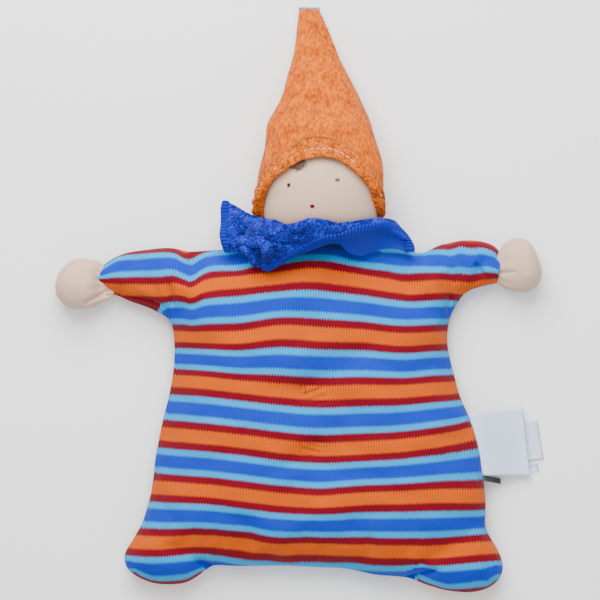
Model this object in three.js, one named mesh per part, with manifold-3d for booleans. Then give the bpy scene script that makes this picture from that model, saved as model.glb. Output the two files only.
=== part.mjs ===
// A soft comforter doll: a flat stuffed body of striped jersey with sleeves and corner feet,
// tied tricot hands, a wool-filled head under a pointed velour cap, and a terry neckerchief.
// It lies on its back. X runs to the picture's right, Y from the hem to the tip of the cap,
// and Z out of the face. The origin is on the surface it lies on, under the middle of the body.
// Lengths are in millimetres and angles in degrees.
import * as THREE from "three";
import { mergeVertices } from "three/addons/utils/BufferGeometryUtils.js";
import Module from "manifold-3d";

const wasm = await Module();
wasm.setup();

// Cloth and clearances
const jersey = 1.0; // wall of the striped body, doubled by its seam allowance
const tricot = 1.0; // wall of the skin of head and hands
const terry = 1.5; // wall of the cap and its turned-up hem
const fit = 0.3; // room between two pieces that touch
const flatCut = 0.5; // how far a form is pressed flat where it lies on the surface
const cutBlock = [600, 600, 40]; // larger than the doll, and as deep as anything that is cut away below it

// Body
const seamHeight = 9.5; // height of the side seam above the surface
const frontCrown = 17.6; // how far the front swells above its seam edge
const shoulderHinge = 72; // distance of each shoulder line from the middle
const hingeRadius = 2; // rounded inner edge of a sleeve or foot
const topLeft = 82; // top edge of the body at the left shoulder
const topLift = 2.5; // how much higher the right shoulder lies
const hemMiddle = -81; // hem between the feet
const hemTilt = -0.057; // the hem drops to the right
// Sides below the shoulders: height along Y, how far the side stands outside the shoulder edge
const leftSideRows = [
  [-90, 20],
  [-62, 17.6],
  [-50, 13.8],
  [-34, 10.4],
  [-17, 7.8],
  [0, 4.2],
  [15, 1],
  [32, 0],
];
const rightSideRows = [
  [-90, 21],
  [-62, 20.5],
  [-36, 18.7],
  [-18, 15],
  [0, 10.2],
  [20, 3.8],
  [36, 0.8],
  [49, 0],
];
const edgeRoundness = 0.62; // a stuffed edge: 1 is a parabola, and less is rounder
const sideEase = 36; // distance from an edge over which the body swells to its full depth
const shoulderEase = 20;
const topEase = 30;
const hemEase = 30;
const footEase = 20;
const waddingInset = 3; // the wadding stops about this far inside the seam

// Tufts that draw front and back together
const upperTuft = [1, 10.4];
const lowerTuft = [0.8, -20];
const tuftReach = 8; // radius of the dimple
const tuftFrontDepth = 5.5;
const tuftBackDepth = 3.2;
const tuftLength = 6; // length of the stitch on the cloth
const threadWidth = 1.0;

// Arms: distance from the shoulder line, upper edge, lower edge, half thickness
const leftSleeveRows = [
  [0, 82, 49.5, 2],
  [3, 82.3, 50.6, 5],
  [10, 82.8, 53.6, 8.8],
  [21, 81, 56.2, 10],
  [28.5, 77.4, 58.8, 8.2],
  [32.2, 74.6, 60.4, 6.2],
];
const rightSleeveRows = [
  [0, 84.5, 49.5, 2],
  [3, 85.3, 52.4, 5],
  [8, 86.8, 58, 8.6],
  [15, 86.4, 62.8, 10],
  [22, 82.6, 64.4, 8.4],
  [25.8, 78.2, 65.2, 6.2],
];
const wristOutside = 0.8; // the wrist turns this far outside the sleeve's mouth
const wristNeck = 3; // radius of the tied neck of a hand
const wristThread = 0.6; // radius of the thread round it

// Hands: distance from the wrist, half width, half thickness
const leftHandRows = [
  [1.2, 3.1, 3],
  [3.4, 5.4, 5],
  [6.4, 9.1, 8.2],
  [10, 11.8, 10.4],
  [13.6, 12.6, 11],
  [17.6, 12, 10.5],
  [21.6, 9.4, 8.4],
  [24.4, 5.2, 4.8],
];
const leftHandTip = 25.4;
const leftHandTurn = 13; // degrees that the hand points below the sleeve
const rightHandRows = [
  [1.2, 3.4, 3],
  [3, 6.4, 4.7],
  [5.4, 10.4, 7.9],
  [8, 12.9, 10.2],
  [10.4, 13.8, 11],
  [13, 13.1, 10.6],
  [16, 10.4, 8.4],
  [18.3, 5.6, 4.6],
];
const rightHandTip = 19.2;
const rightHandTurn = 10;
const handCentreRise = 1; // the middle of a hand lies this much above the seam

// Feet: ends of the fold line, then distance from it, inner and outer end, half thickness
const leftFootLine = [
  [-87.9, -62.3],
  [-49.6, -79.2],
];
const leftFootRows = [
  [0, 0.8, 41, 2],
  [3, -1.8, 41.6, 5.2],
  [7, -3, 40.6, 8.4],
  [11, -2, 37.6, 9.6],
  [14.5, 2, 33, 8.2],
  [17.4, 8.6, 25.6, 5],
];
const leftFootTip = [19, 17];
const rightFootLine = [
  [91, -62.3],
  [48.5, -84.8],
];
const rightFootRows = [
  [0, 0.8, 47, 2],
  [3, -1.8, 47.4, 5.2],
  [8, -2.8, 46, 8.8],
  [13, -0.8, 42, 10],
  [17.5, 4.4, 36, 8.6],
  [21, 12, 27.6, 5.2],
];
const rightFootTip = [23, 19.6];

// Head, neck and face
const neckPivot = [4.1, 82, 9.5];
const headMiddle = [5.4, 112.4];
const headHalf = [29, 26, 21];
const neckBall = 6.5;
const neckRadius = 4.2;
const neckInHead = 9; // how far the neck runs into the head
const neckThread = 0.7;
const neckThreadAlong = 7.9;
const leftEyeAt = [-10.8, 114.5];
const rightEyeAt = [13.8, 117.2];
const mouthAt = [1.1, 104];
const eyeSize = [0.8, 0.8, 0.5];
const rightEyeSize = [1, 0.6, 0.5];
const mouthSize = [1.1, 0.8, 0.5];
const hairAt = [-7.2, 122.6];

// Cap: height along Y, middle in X, half width, back and front height
const capRows = [
  [97, 4.6, 29.6, 1.8, 42],
  [104, 4.9, 31.2, 1.8, 46],
  [112, 5.1, 32, 1.8, 47.6],
  [121, 5.4, 31.8, -0.2, 46.4],
  [130, 5.6, 29.8, -0.5, 43.4],
  [146, 5.1, 26.1, -0.5, 37],
  [158, 5.3, 20.9, -0.5, 30.4],
  [179, 3.3, 12.5, -0.5, 18.4],
  [197, 0.4, 6.3, -0.5, 9],
  [203, -0.2, 5.4, 0, 6.8],
];
const capTip = 206;
const brimBack = 97; // the brim behind and at the sides
const brimFront = 129.3; // the brim over the forehead
const brimBow = 1.4; // how pointed the brim's arch is
const hemWidth = 10; // turned-up terry at the brim

// Labels in the right side seam
const labelSpan = [-2, -36]; // heights along Y between which they are sewn in
const rootReach = 1.3; // the sewn edges lie on this radius round the label hinge
const seamBow = 0.25; // the seam bows out this much between the labels' corners
const labelSheet = 0.3;
const labelFold = 0.5; // room inside a folded label
const droopReach = 24; // the labels reach the surface this far out
const droopDepth = 7.3;
// Each label: where it starts and ends down the seam, how far it reaches out, how far above the seam
// it is sewn in, and whether it is folded in half
const mainLabelSizes = { from: 0.4, to: 32, reach: 27, level: 0.72, folded: true };
const secondLabelSizes = { from: 7, to: 26, reach: 34, level: -0.72, folded: true };
const thirdLabelSizes = { from: 26.6, to: 32.2, reach: 31, level: -0.5, folded: false };
const darkTabSizes = { from: 32.6, to: 35.6, reach: 8.5, level: 0, folded: true };

// Neckerchief: a collar of folded terry that goes once round the neck. Each row is a place
// round the neck: its lower edge, its crest and its upper edge.
const collarRows = [
  [[5, 79.5, 17.5], [5, 85, 38], [5, 95, 43]],
  [[21, 80.5, 20], [22, 86, 38], [20, 95.2, 40.5]],
  [[38, 81, 17], [39, 87, 30], [34.5, 95.6, 33]],
  [[50.5, 82, 13], [51, 86.5, 18], [44, 95, 22]],
  [[40, 84.5, 5], [42, 88, 7], [37, 93, 9]],
  [[20, 85, 2], [20, 88.5, 2], [20, 93, 2.4]],
  [[4, 85, 1.9], [4, 88.5, 1.8], [4, 94, 1.9]],
  [[-13, 85, 2.6], [-14, 88.5, 3], [-12, 93, 4]],
  [[-25, 85, 12], [-28, 89, 15], [-26, 93.4, 17]],
  [[-22, 80.5, 20], [-27, 86, 31], [-23, 94, 33]],
  [[-9, 79, 18.5], [-12, 85, 37], [-10, 95, 40]],
];
const collarHalf = 1.5; // half thickness of the folded cloth
const knotAt = [-22.5, 87.4, 33];
const knotHalf = [8.4, 7.6, 6.2];
// Loose ends: middle, direction across, half width and half thickness, from the knot outwards
const upperEndRows = [
  [[-22, 88, 33], [0.25, 1, 0], 4.5, 3],
  [[-28, 90.2, 31], [0.2, 1, 0], 6.6, 2.4],
  [[-36, 92.4, 26.5], [0.1, 1, 0], 9.6, 1.7],
  [[-44.6, 93.8, 21], [0.05, 1, 0], 12, 1.4],
];
const lowerEndRows = [
  [[-23, 87, 32], [1, 0.25, 0], 4, 3],
  [[-25, 81.6, 28.5], [1, 0.2, 0], 6.6, 2.2],
  [[-24.5, 77, 24.6], [1, 0.25, 0], 6.6, 1.7],
  [[-22.6, 73.4, 22.4], [1, 0.35, 0], 4.4, 1.4],
];
const upperEndFold = 1.6; // depth of the waves across a loose end
const lowerEndFold = 1;

const clamp = (value) => Math.min(Math.max(value, 0), 1);
const smooth = (value) => clamp(value) ** 2 * (3 - 2 * clamp(value));
const rise = (distance, ease) => (1 - (1 - clamp(distance / ease)) ** 2) ** edgeRoundness;
const vector = (point) => new THREE.Vector3(...point);

// Rows of a distance and the sizes there become a smooth function of the distance.
function between(rows) {
  const count = rows[0].length - 1;
  const places = rows.map((row) => row[0]);
  const sizes = rows.flatMap((row) => row.slice(1));
  const curve = new THREE.CubicInterpolant(places, sizes, count, new Float32Array(count));
  return (place) => Array.from(curve.evaluate(place));
}

// A geometry whose shared corners are merged becomes a solid that can be cut and joined.
function solid(geometry) {
  const bare = geometry.index ? geometry.toNonIndexed() : geometry.clone();
  bare.deleteAttribute("normal");
  bare.deleteAttribute("uv");
  const merged = mergeVertices(bare, 1e-4);
  const vertProperties = merged.attributes.position.array;
  const triVerts = new Uint32Array(merged.index.array);
  return new wasm.Manifold(new wasm.Mesh({ numProp: 3, vertProperties, triVerts }));
}

function geometryOf(body) {
  const mesh = body.getMesh();
  const geometry = new THREE.BufferGeometry();
  geometry.setAttribute("position", new THREE.BufferAttribute(mesh.vertProperties, 3));
  geometry.setIndex(new THREE.BufferAttribute(mesh.triVerts, 1));
  const faceted = geometry.toNonIndexed();
  faceted.computeVertexNormals();
  return faceted;
}

// A skin over rings of points. Each end is a pole where one is given, a flat cap where not,
// and with no ends at all the last ring joins the first.
function loft(rings, { startPole, endPole, looped = false } = {}) {
  const points = rings.flat();
  const faces = [];
  const around = rings[0].length;
  const quad = (a, b, c, d) => faces.push(a, b, c, a, c, d);
  const bands = looped ? rings.length : rings.length - 1;
  for (let ring = 0; ring < bands; ring += 1) {
    const next = (ring + 1) % rings.length;
    for (let n = 0; n < around; n += 1) {
      const m = (n + 1) % around;
      quad(ring * around + n, ring * around + m, next * around + m, next * around + n);
    }
  }
  if (!looped) {
    const middle = (ring) => {
      const sum = ring.reduce((total, point) => total.add(point), new THREE.Vector3());
      return sum.divideScalar(ring.length);
    };
    const start = points.push(startPole ?? middle(rings[0])) - 1;
    const end = points.push(endPole ?? middle(rings.at(-1))) - 1;
    const last = (rings.length - 1) * around;
    for (let n = 0; n < around; n += 1) {
      const m = (n + 1) % around;
      faces.push(start, m, n);
      faces.push(end, last + n, last + m);
    }
  }
  const geometry = new THREE.BufferGeometry().setFromPoints(points);
  geometry.setIndex(faces);
  const made = solid(geometry);
  return made.volume() < 0 ? solid(flipped(geometry)) : made;
}

function flipped(geometry) {
  const turned = geometry.clone();
  const index = turned.index.array;
  for (let n = 0; n < index.length; n += 3) {
    const first = index[n];
    index[n] = index[n + 1];
    index[n + 1] = first;
  }
  return turned;
}

// Everything below the surface that the doll lies on is cut away, so its forms rest flat.
const underneath = solid(new THREE.BoxGeometry(...cutBlock).translate(0, 0, -cutBlock[2] / 2));
const rested = (body) => body.subtract(underneath);

// Body outline: each edge is a distance that is zero on the edge and grows inwards.
const seamHalf = jersey + fit / 2;
const bodySide = shoulderHinge - hingeRadius - fit;
const leftOutside = between(leftSideRows);
const rightOutside = between(rightSideRows);
const leftEdge = (y) => -bodySide - leftOutside(y)[0];
const rightEdge = (y) => bodySide + rightOutside(y)[0];
const topEdge = (x) => topLeft + topLift * smooth((x - 45) / 25);
const hemEdge = (x) => hemMiddle + hemTilt * x;

function foldLine(line) {
  const start = new THREE.Vector2(...line[0]);
  const along = new THREE.Vector2(...line[1]).sub(start);
  const length = along.length();
  along.normalize();
  const outward = new THREE.Vector2(along.y, -along.x);
  if (outward.y > 0) outward.negate();
  return { start, along, outward, length };
}
const leftFold = foldLine(leftFootLine);
const rightFold = foldLine(rightFootLine);

// The straight edge that a foot folds on, as a height along Y at a place along X
const footEdge = (fold, x) => {
  const away = fold.start.clone().addScaledVector(fold.outward, -hingeRadius - fit);
  return away.y + ((x - away.x) * fold.along.y) / fold.along.x;
};
const bottomEdge = (x) => Math.max(hemEdge(x), footEdge(leftFold, x), footEdge(rightFold, x));

const dimple = (x, y, depth) => {
  const one = ([tuftX, tuftY]) => {
    const away = clamp(Math.hypot(x - tuftX, y - tuftY) / tuftReach);
    return depth * (1 - away * away) ** 2;
  };
  return one(upperTuft) + one(lowerTuft);
};

// How full the body is at a point: 0 on its edges and 1 in the middle.
function fullness(x, y) {
  const ease = THREE.MathUtils.lerp(sideEase, shoulderEase, smooth((y - 25) / 35));
  const sides = rise(x - leftEdge(y), ease) * rise(rightEdge(y) - x, ease);
  const feet = rise(y - footEdge(leftFold, x), footEase) * rise(y - footEdge(rightFold, x), footEase);
  return sides * feet * rise(topEdge(x) - y, topEase) * rise(y - hemEdge(x), hemEase);
}

const backCrown = seamHeight - seamHalf + flatCut;
const frontHeight = (x, y) =>
  seamHeight + seamHalf + frontCrown * fullness(x, y) - dimple(x, y, tuftFrontDepth);
const backHeight = (x, y) => {
  const swelling = seamHeight - seamHalf - backCrown * fullness(x, y);
  return Math.max(swelling, 0) + dimple(x, y, tuftBackDepth);
};

// Grid lines across and along the body, closer together at the edges and round the tufts,
// as shares of its width and its length
const shares = (places, low, high) => places.map((place) => (place - low) / (high - low));
const nearTuft = (place) => [-9, -4.5, 0, 4.5, 9].map((step) => place + step);
function gridLines() {
  const [left, right] = [leftEdge(-5), rightEdge(-5)];
  const steps = [0, waddingInset, 8, 16, 28, 42];
  const across = [...steps, 56].map((step) => left + step);
  across.push(...nearTuft(upperTuft[0]));
  across.push(...[...steps, 56].reverse().map((step) => right - step));
  const [bottom, top] = [bottomEdge(0), topEdge(0)];
  const along = steps.map((step) => bottom + step);
  along.push(...nearTuft(lowerTuft[1]), (upperTuft[1] + lowerTuft[1]) / 2, ...nearTuft(upperTuft[1]));
  along.push(...[...steps, 52].reverse().map((step) => top - step));
  return { across: shares(across, left, right), along: shares(along, bottom, top) };
}

// A layer over the body between two heights, which may leave out the outermost grid lines.
// All layers share one grid, so their facets run alongside each other.
function layer(upper, lower, leftOut = 0) {
  const lines = gridLines();
  const across = lines.across.slice(leftOut, lines.across.length - leftOut);
  const along = lines.along.slice(leftOut, lines.along.length - leftOut);
  const places = along.flatMap((up) =>
    across.map((over) => {
      let [x, y] = [0, THREE.MathUtils.lerp(bottomEdge(0), topEdge(0), up)];
      for (let step = 0; step < 30; step += 1) {
        x = THREE.MathUtils.lerp(leftEdge(y), rightEdge(y), over);
        y = THREE.MathUtils.lerp(bottomEdge(x), topEdge(x), up);
      }
      return [x, y];
    }),
  );
  const points = places.map(([x, y]) => new THREE.Vector3(x, y, upper(x, y)));
  points.push(...places.map(([x, y]) => new THREE.Vector3(x, y, lower(x, y))));
  const under = places.length;
  const wide = across.length;
  const faces = [];
  for (let r = 0; r + 1 < along.length; r += 1) {
    for (let c = 0; c + 1 < wide; c += 1) {
      const a = r * wide + c;
      const [b, d, e] = [a + 1, a + wide + 1, a + wide];
      faces.push(a, b, d, a, d, e);
      faces.push(under + a, under + d, under + b, under + a, under + e, under + d);
    }
  }
  const rim = [
    ...across.map((_, c) => c),
    ...along.slice(1).map((_, r) => (r + 2) * wide - 1),
    ...across.slice(1).map((_, c) => along.length * wide - 2 - c),
    ...along.slice(1, -1).map((_, r) => (along.length - 2 - r) * wide),
  ];
  rim.forEach((a, n) => {
    const b = rim[(n + 1) % rim.length];
    faces.push(a, under + a, under + b, a, under + b, b);
  });
  const geometry = new THREE.BufferGeometry().setFromPoints(points);
  geometry.setIndex(faces);
  return solid(geometry);
}

const tuft = ([x, y]) => {
  const half = tuftLength / 2;
  const ends = [y - half, y, y + half];
  const top = Math.max(...ends.map((end) => frontHeight(x, end))) + fit + threadWidth;
  const bottom = Math.min(...ends.map((end) => backHeight(x, end))) - fit - threadWidth;
  const frame = new THREE.Shape([
    new THREE.Vector2(-half, bottom),
    new THREE.Vector2(half, bottom),
    new THREE.Vector2(half, top),
    new THREE.Vector2(-half, top),
  ]);
  const inner = half - threadWidth;
  frame.holes.push(
    new THREE.Path([
      new THREE.Vector2(-inner, bottom + threadWidth),
      new THREE.Vector2(-inner, top - threadWidth),
      new THREE.Vector2(inner, top - threadWidth),
      new THREE.Vector2(inner, bottom + threadWidth),
    ]),
  );
  const stitch = new THREE.ExtrudeGeometry(frame, { depth: threadWidth, bevelEnabled: false });
  stitch.translate(0, 0, -threadWidth / 2).rotateX(Math.PI / 2).rotateZ(Math.PI / 2);
  const leg = threadWidth + 2 * fit;
  const legs = [-1, 1].map((side) => {
    const hole = new THREE.BoxGeometry(leg, leg, 60);
    return solid(hole.translate(x, y + side * (half - threadWidth / 2), 30 - 10));
  });
  return { thread: solid(stitch.translate(x, y, 0)), holes: legs[0].add(legs[1]) };
};

// A ball-jointed neck leans from the body's top edge to the middle of the head.
const headCentre = vector([...headMiddle, 2 * (terry + fit) + headHalf[2]]);
const neckAt = vector(neckPivot);
const neckWay = headCentre.clone().sub(neckAt);
const neckReach = neckWay.length();
neckWay.normalize();
const neckTurn = new THREE.Quaternion().setFromUnitVectors(new THREE.Vector3(0, 1, 0), neckWay);
const onNeck = (geometry) => geometry.applyQuaternion(neckTurn).translate(...neckAt.toArray());

function ball(centre, half, across = 24, up = 16) {
  const sphere = new THREE.SphereGeometry(1, across, up);
  return solid(sphere.scale(...half).translate(...centre));
}

const headBall = (offset, across, up) =>
  ball(headCentre.toArray(), headHalf.map((half) => half + offset), across, up);
const headBase = (() => {
  const [x, y, z] = neckWay.toArray().map((part, axis) => part / headHalf[axis]);
  return neckReach - 1 / Math.hypot(x, y, z);
})();

function neckSolid(radius, ballRadius, end) {
  const waist = Math.acos(radius / ballRadius);
  const profile = [new THREE.Vector2(0, -ballRadius)];
  for (let step = 1; step <= 8; step += 1) {
    const angle = THREE.MathUtils.lerp(-Math.PI / 2, waist, step / 8);
    profile.push(new THREE.Vector2(ballRadius * Math.cos(angle), ballRadius * Math.sin(angle)));
  }
  profile.push(new THREE.Vector2(radius, end), new THREE.Vector2(0, end));
  return solid(onNeck(new THREE.LatheGeometry(profile, 16)));
}

const neckEnd = headBase + neckInHead;
const neckHole = solid(
  onNeck(new THREE.CylinderGeometry(neckRadius + fit, neckRadius + fit, neckEnd + fit, 16)
    .translate(0, (neckEnd + fit) / 2, 0)),
);
const neckSocket = ball(neckPivot, [1, 1, 1].map(() => neckBall + fit));

// Body
const tufts = [upperTuft, lowerTuft].map(tuft);
const tuftHoles = tufts[0].holes.add(tufts[1].holes);
const frontPanel = layer(frontHeight, (x, y) => frontHeight(x, y) - jersey)
  .subtract(tuftHoles)
  .subtract(neckSocket);
const backPanel = layer((x, y) => backHeight(x, y) + jersey, backHeight)
  .subtract(tuftHoles)
  .subtract(neckSocket);
const bodyWadding = layer(
  (x, y) => frontHeight(x, y) - jersey - fit,
  (x, y) => backHeight(x, y) + jersey + fit,
  1,
)
  .subtract(tuftHoles)
  .subtract(neckSocket);

const limbSides = 16; // facets round a limb or a hand

// A stuffed limb swells from a rounded edge on its fold line. Its rows give two ends along
// the line and a half thickness, and the limb lies across the line in the outward direction.
function limb({ start, along, outward, rows }) {
  const sizes = between(rows);
  const ring = (away, inset) => {
    const [low, high, swell] = sizes(Math.max(away, 0));
    const round = away < 0 ? Math.sqrt(hingeRadius ** 2 - away ** 2) : swell;
    const middle = (low + high) / 2;
    const half = Math.abs(high - low) / 2 - inset;
    return Array.from({ length: limbSides }, (_, n) => {
      const angle = (n / limbSides) * 2 * Math.PI;
      const across = middle + half * Math.cos(angle);
      const flat = start.clone().addScaledVector(along, across).addScaledVector(outward, away);
      const z = seamHeight + (round - inset) * Math.sin(angle);
      return new THREE.Vector3(flat.x, flat.y, z);
    });
  };
  return ring;
}

const stations = (rows, from, to) => {
  const inner = rows.map((row) => row[0]).filter((place) => place > from && place < to);
  return [from, ...inner, to];
};

function sleeve(side, rows) {
  const outward = new THREE.Vector2(side, 0);
  const start = new THREE.Vector2(side * shoulderHinge, 0);
  const ring = limb({ start, along: new THREE.Vector2(0, 1), outward, rows });
  const mouth = rows.at(-1)[0];
  const rounded = [-0.9 * hingeRadius, -0.6 * hingeRadius];
  const stuffedEnd = mouth - 1.5 * wristNeck;
  const places = [...stations(rows, 0, stuffedEnd), mouth];
  const outside = [...rounded, ...places].map((away) => ring(away, 0));
  const inside = [-0.5 * hingeRadius, ...places].map((away) => ring(away, jersey));
  const skin = loft([...outside, ...inside.reverse()], { looped: true });
  const stuffed = places.slice(1, -1).reverse();
  const wadding = loft(stuffed.map((away) => ring(away, jersey + fit)));
  const [low, high] = between(rows)(mouth);
  const wristAway = shoulderHinge + mouth + wristOutside;
  const wrist = new THREE.Vector3(side * wristAway, (low + high) / 2, seamHeight);
  return { cover: rested(skin), wadding: rested(wadding), wrist };
}

// A tied hand: a ball of wool in tricot, gathered to a narrow neck inside the sleeve.
function hand(side, wrist, rows, tip, turn) {
  const angle = THREE.MathUtils.degToRad(turn);
  const drop = side < 0 ? -1 : 1;
  const way = new THREE.Vector3(side * Math.cos(angle), drop * Math.sin(angle), 0);
  const width = new THREE.Vector3(-way.y, way.x, 0);
  const middle = tip / 2;
  const neckInside = -1.2 * wristNeck;
  const shape = between([[0, wristNeck, wristNeck], ...rows]);
  const ring = (away, inset) => {
    const [half, thick] = away <= 0 ? [wristNeck, wristNeck] : shape(away);
    const lift = handCentreRise * smooth(away / middle);
    return Array.from({ length: limbSides }, (_, n) => {
      const around = (n / limbSides) * 2 * Math.PI;
      const point = wrist.clone().addScaledVector(way, away);
      point.addScaledVector(width, (half - inset) * Math.cos(around));
      point.z += lift + (thick - inset) * Math.sin(around);
      return point;
    });
  };
  const pole = (away) => wrist.clone().addScaledVector(way, away).setZ(wrist.z + handCentreRise);
  const places = [neckInside, 0, ...rows.map((row) => row[0])];
  const outside = places.map((away) => ring(away, 0)).reverse();
  const inside = places.map((away) => ring(away, tricot));
  const skin = loft([...outside, ...inside], { startPole: pole(tip), endPole: pole(tip - tricot) });
  const gap = tricot + fit;
  const filled = rows.map((row) => ring(row[0], gap));
  const wool = loft(filled, { endPole: pole(tip - 2.2 * gap) });
  const loop = new THREE.TorusGeometry(wristNeck + fit + wristThread, wristThread, 6, 18);
  loop.rotateY(Math.PI / 2).rotateZ(Math.atan2(way.y, way.x)).translate(...wrist.toArray());
  return { cover: rested(skin), core: rested(wool), thread: solid(loop) };
}

// A corner foot: a stuffed pocket that folds along its line, open towards the body.
function foot(fold, rows, tip) {
  const ring = limb({ start: fold.start, along: fold.along, outward: fold.outward, rows });
  const last = rows.at(-1)[0];
  const rounded = [-0.9 * hingeRadius, -0.6 * hingeRadius];
  const pole = (away) => {
    const flat = fold.start.clone().addScaledVector(fold.along, tip[1]);
    flat.addScaledVector(fold.outward, away);
    return new THREE.Vector3(flat.x, flat.y, seamHeight);
  };
  const outside = [...rounded, ...stations(rows, 0, last)].map((away) => ring(away, 0)).reverse();
  const inside = [-0.5 * hingeRadius, ...stations(rows, 0, last)].map((away) => ring(away, jersey));
  const poles = { startPole: pole(tip[0]), endPole: pole(tip[0] - jersey) };
  const skin = loft([...outside, ...inside], poles);
  const gap = jersey + fit;
  const stuffed = rows.slice(1).map((row) => ring(row[0], gap));
  const wadding = loft(stuffed, { endPole: pole(tip[0] - 1.6 * gap) });
  return { cover: rested(skin), wadding: rested(wadding) };
}

const leftSleeve = sleeve(-1, leftSleeveRows);
const rightSleeve = sleeve(1, rightSleeveRows);
const leftHand = hand(-1, leftSleeve.wrist, leftHandRows, leftHandTip, leftHandTurn);
const rightHand = hand(1, rightSleeve.wrist, rightHandRows, rightHandTip, rightHandTurn);
const leftFoot = foot(leftFold, leftFootRows, leftFootTip);
const rightFoot = foot(rightFold, rightFootRows, rightFootTip);

// Head: a skin over a wool ball, with the neck let into it and tied below
const headCover = headBall(0, 28, 18).subtract(headBall(-tricot, 18, 10)).subtract(neckHole);
const headCore = headBall(-tricot - fit, 18, 10).subtract(neckHole);
const neckTube = neckSolid(neckRadius, neckBall, neckEnd);
const neckTie = solid(
  onNeck(new THREE.TorusGeometry(neckRadius + fit + neckThread, neckThread, 6, 20)
    .rotateX(Math.PI / 2)
    .translate(0, neckThreadAlong, 0)),
);

const headClear = headBall(fit, 28, 18);
const onFace = ([x, y], lift) => {
  const across = (x - headCentre.x) / headHalf[0];
  const up = (y - headCentre.y) / headHalf[1];
  const depth = headHalf[2] * Math.sqrt(1 - across ** 2 - up ** 2);
  return [x, y, headCentre.z + depth + lift];
};
const sewn = (place, size) => ball(onFace(place, fit), size, 12, 8).subtract(headClear);

// A tuft of mohair: a rooted pad with curls that spring from under the brim
function hairTuft() {
  const [x, y] = hairAt;
  const root = ball(onFace([x, y], 0.7), [3.6, 0.9, 0.9], 12, 8);
  const curl = (shift, size, turn) => {
    const points = Array.from({ length: 9 }, (_, n) => {
      const angle = THREE.MathUtils.degToRad(turn + n * 36);
      const away = size * (1 - n * 0.05);
      const place = [x + shift + away * Math.cos(angle), y - size + away * Math.sin(angle)];
      return vector(onFace(place, 0.9 + 0.12 * n));
    });
    const section = new THREE.Shape(
      Array.from({ length: 5 }, (_, n) => {
        const angle = (n / 5) * 2 * Math.PI;
        return new THREE.Vector2(0.4 * Math.cos(angle), 0.4 * Math.sin(angle));
      }),
    );
    const extrudePath = new THREE.CatmullRomCurve3(points);
    return solid(new THREE.ExtrudeGeometry(section, { steps: 12, extrudePath, bevelEnabled: false }));
  };
  const curls = [curl(-2.2, 1.3, 80), curl(-0.4, 1.7, 95), curl(1.6, 1.4, 90)];
  return curls.reduce((joined, one) => joined.add(one), root).subtract(headClear).subtract(capClear());
}

// Cap: a cone that leans as it was laid down, open over the face along an arched brim
const capSizes = between(capRows);
const capAround = 32;
function capRing(heightAt, offset) {
  return Array.from({ length: capAround }, (_, n) => {
    const angle = (n / capAround) * 2 * Math.PI;
    const y = heightAt(angle);
    const [middle, half, back, front] = capSizes(y);
    const x = middle + (half + offset) * Math.cos(angle);
    const z = (back + front) / 2 + ((front - back) / 2 + offset) * Math.sin(angle);
    return new THREE.Vector3(x, y, z);
  });
}
const brimAt = (angle) =>
  brimBack + (brimFront - brimBack) * Math.max(Math.sin(angle), 0) ** brimBow;
function capShell() {
  const last = capRows.at(-1)[0];
  const ringAt = (share, offset) =>
    capRing((angle) => THREE.MathUtils.lerp(brimAt(angle), last, share), offset);
  const shares = [0, 0.06, 0.14, 0.24, 0.36, 0.5, 0.64, 0.78, 0.9, 1];
  const outside = shares.map((share) => ringAt(share, 0)).reverse();
  const inside = shares.slice(0, -1).map((share) => ringAt(share, -terry));
  const [tipX, , tipBack, tipFront] = capSizes(last);
  const tipZ = (tipBack + tipFront) / 2;
  const startPole = new THREE.Vector3(tipX, capTip, tipZ);
  const endPole = new THREE.Vector3(tipX, last - terry, tipZ);
  return rested(loft([...outside, ...inside], { startPole, endPole }).subtract(headClear));
}
// The room that the cap and its hem take up, for what lies against the brim
function capClear() {
  const last = capRows.at(-1)[0];
  const rings = [0, 0.12, 0.3, 0.6, 1].map((share) =>
    capRing((angle) => THREE.MathUtils.lerp(brimAt(angle) - 0.4 - fit, last, share), 2 * fit + terry * 1.1),
  );
  return loft(rings);
}
function capHem() {
  const section = [
    [0, fit],
    [-0.4, fit + terry * 0.5],
    [0.6, fit + terry],
    [hemWidth / 2, fit + terry * 1.1],
    [hemWidth - 0.6, fit + terry],
    [hemWidth, fit + terry * 0.5],
    [hemWidth - 0.4, fit],
    [hemWidth / 2, fit],
  ];
  const rings = section.map(([up, offset]) => capRing((angle) => brimAt(angle) + up, offset));
  return rested(loft(rings, { looped: true }));
}

// Neckerchief: the collar is lofted round the neck, and each section bends over its crest.
function collar() {
  const loops = [0, 1, 2].map((part) => {
    const points = collarRows.map((row) => vector(row[part]));
    return new THREE.CatmullRomCurve3(points, true);
  });
  const count = 36;
  const rings = Array.from({ length: count }, (_, n) => {
    const [low, crest, high] = loops.map((loop) => loop.getPoint(n / count));
    const bend = new THREE.QuadraticBezierCurve3(low, crest, high);
    const round = loops[1].getTangent(n / count);
    const side = (share, sign) => {
      const out = new THREE.Vector3().crossVectors(round, bend.getTangent(share)).normalize();
      const flatter = share === 0 || share === 1 ? 0.55 : 1;
      return bend.getPoint(share).addScaledVector(out, sign * collarHalf * flatter);
    };
    const shares = [0, 0.25, 0.5, 0.75, 1];
    return [...shares.map((share) => side(share, 1)), ...shares.reverse().map((share) => side(share, -1))];
  });
  return loft(rings, { looped: true });
}

// A loose end of cloth: rows of middle, half width along a direction, half thickness
function looseEnd(rows, fold) {
  const rings = rows.map(([middle, across, half, thick]) => {
    const centre = vector(middle);
    const wide = vector(across).normalize();
    return Array.from({ length: 14 }, (_, n) => {
      const angle = (n / 14) * 2 * Math.PI;
      const share = Math.cos(angle);
      const point = centre.clone().addScaledVector(wide, half * share);
      point.z += thick * Math.sin(angle) + fold * Math.cos(3 * share) * (half / 12);
      return point;
    });
  });
  return loft(rings);
}

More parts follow.
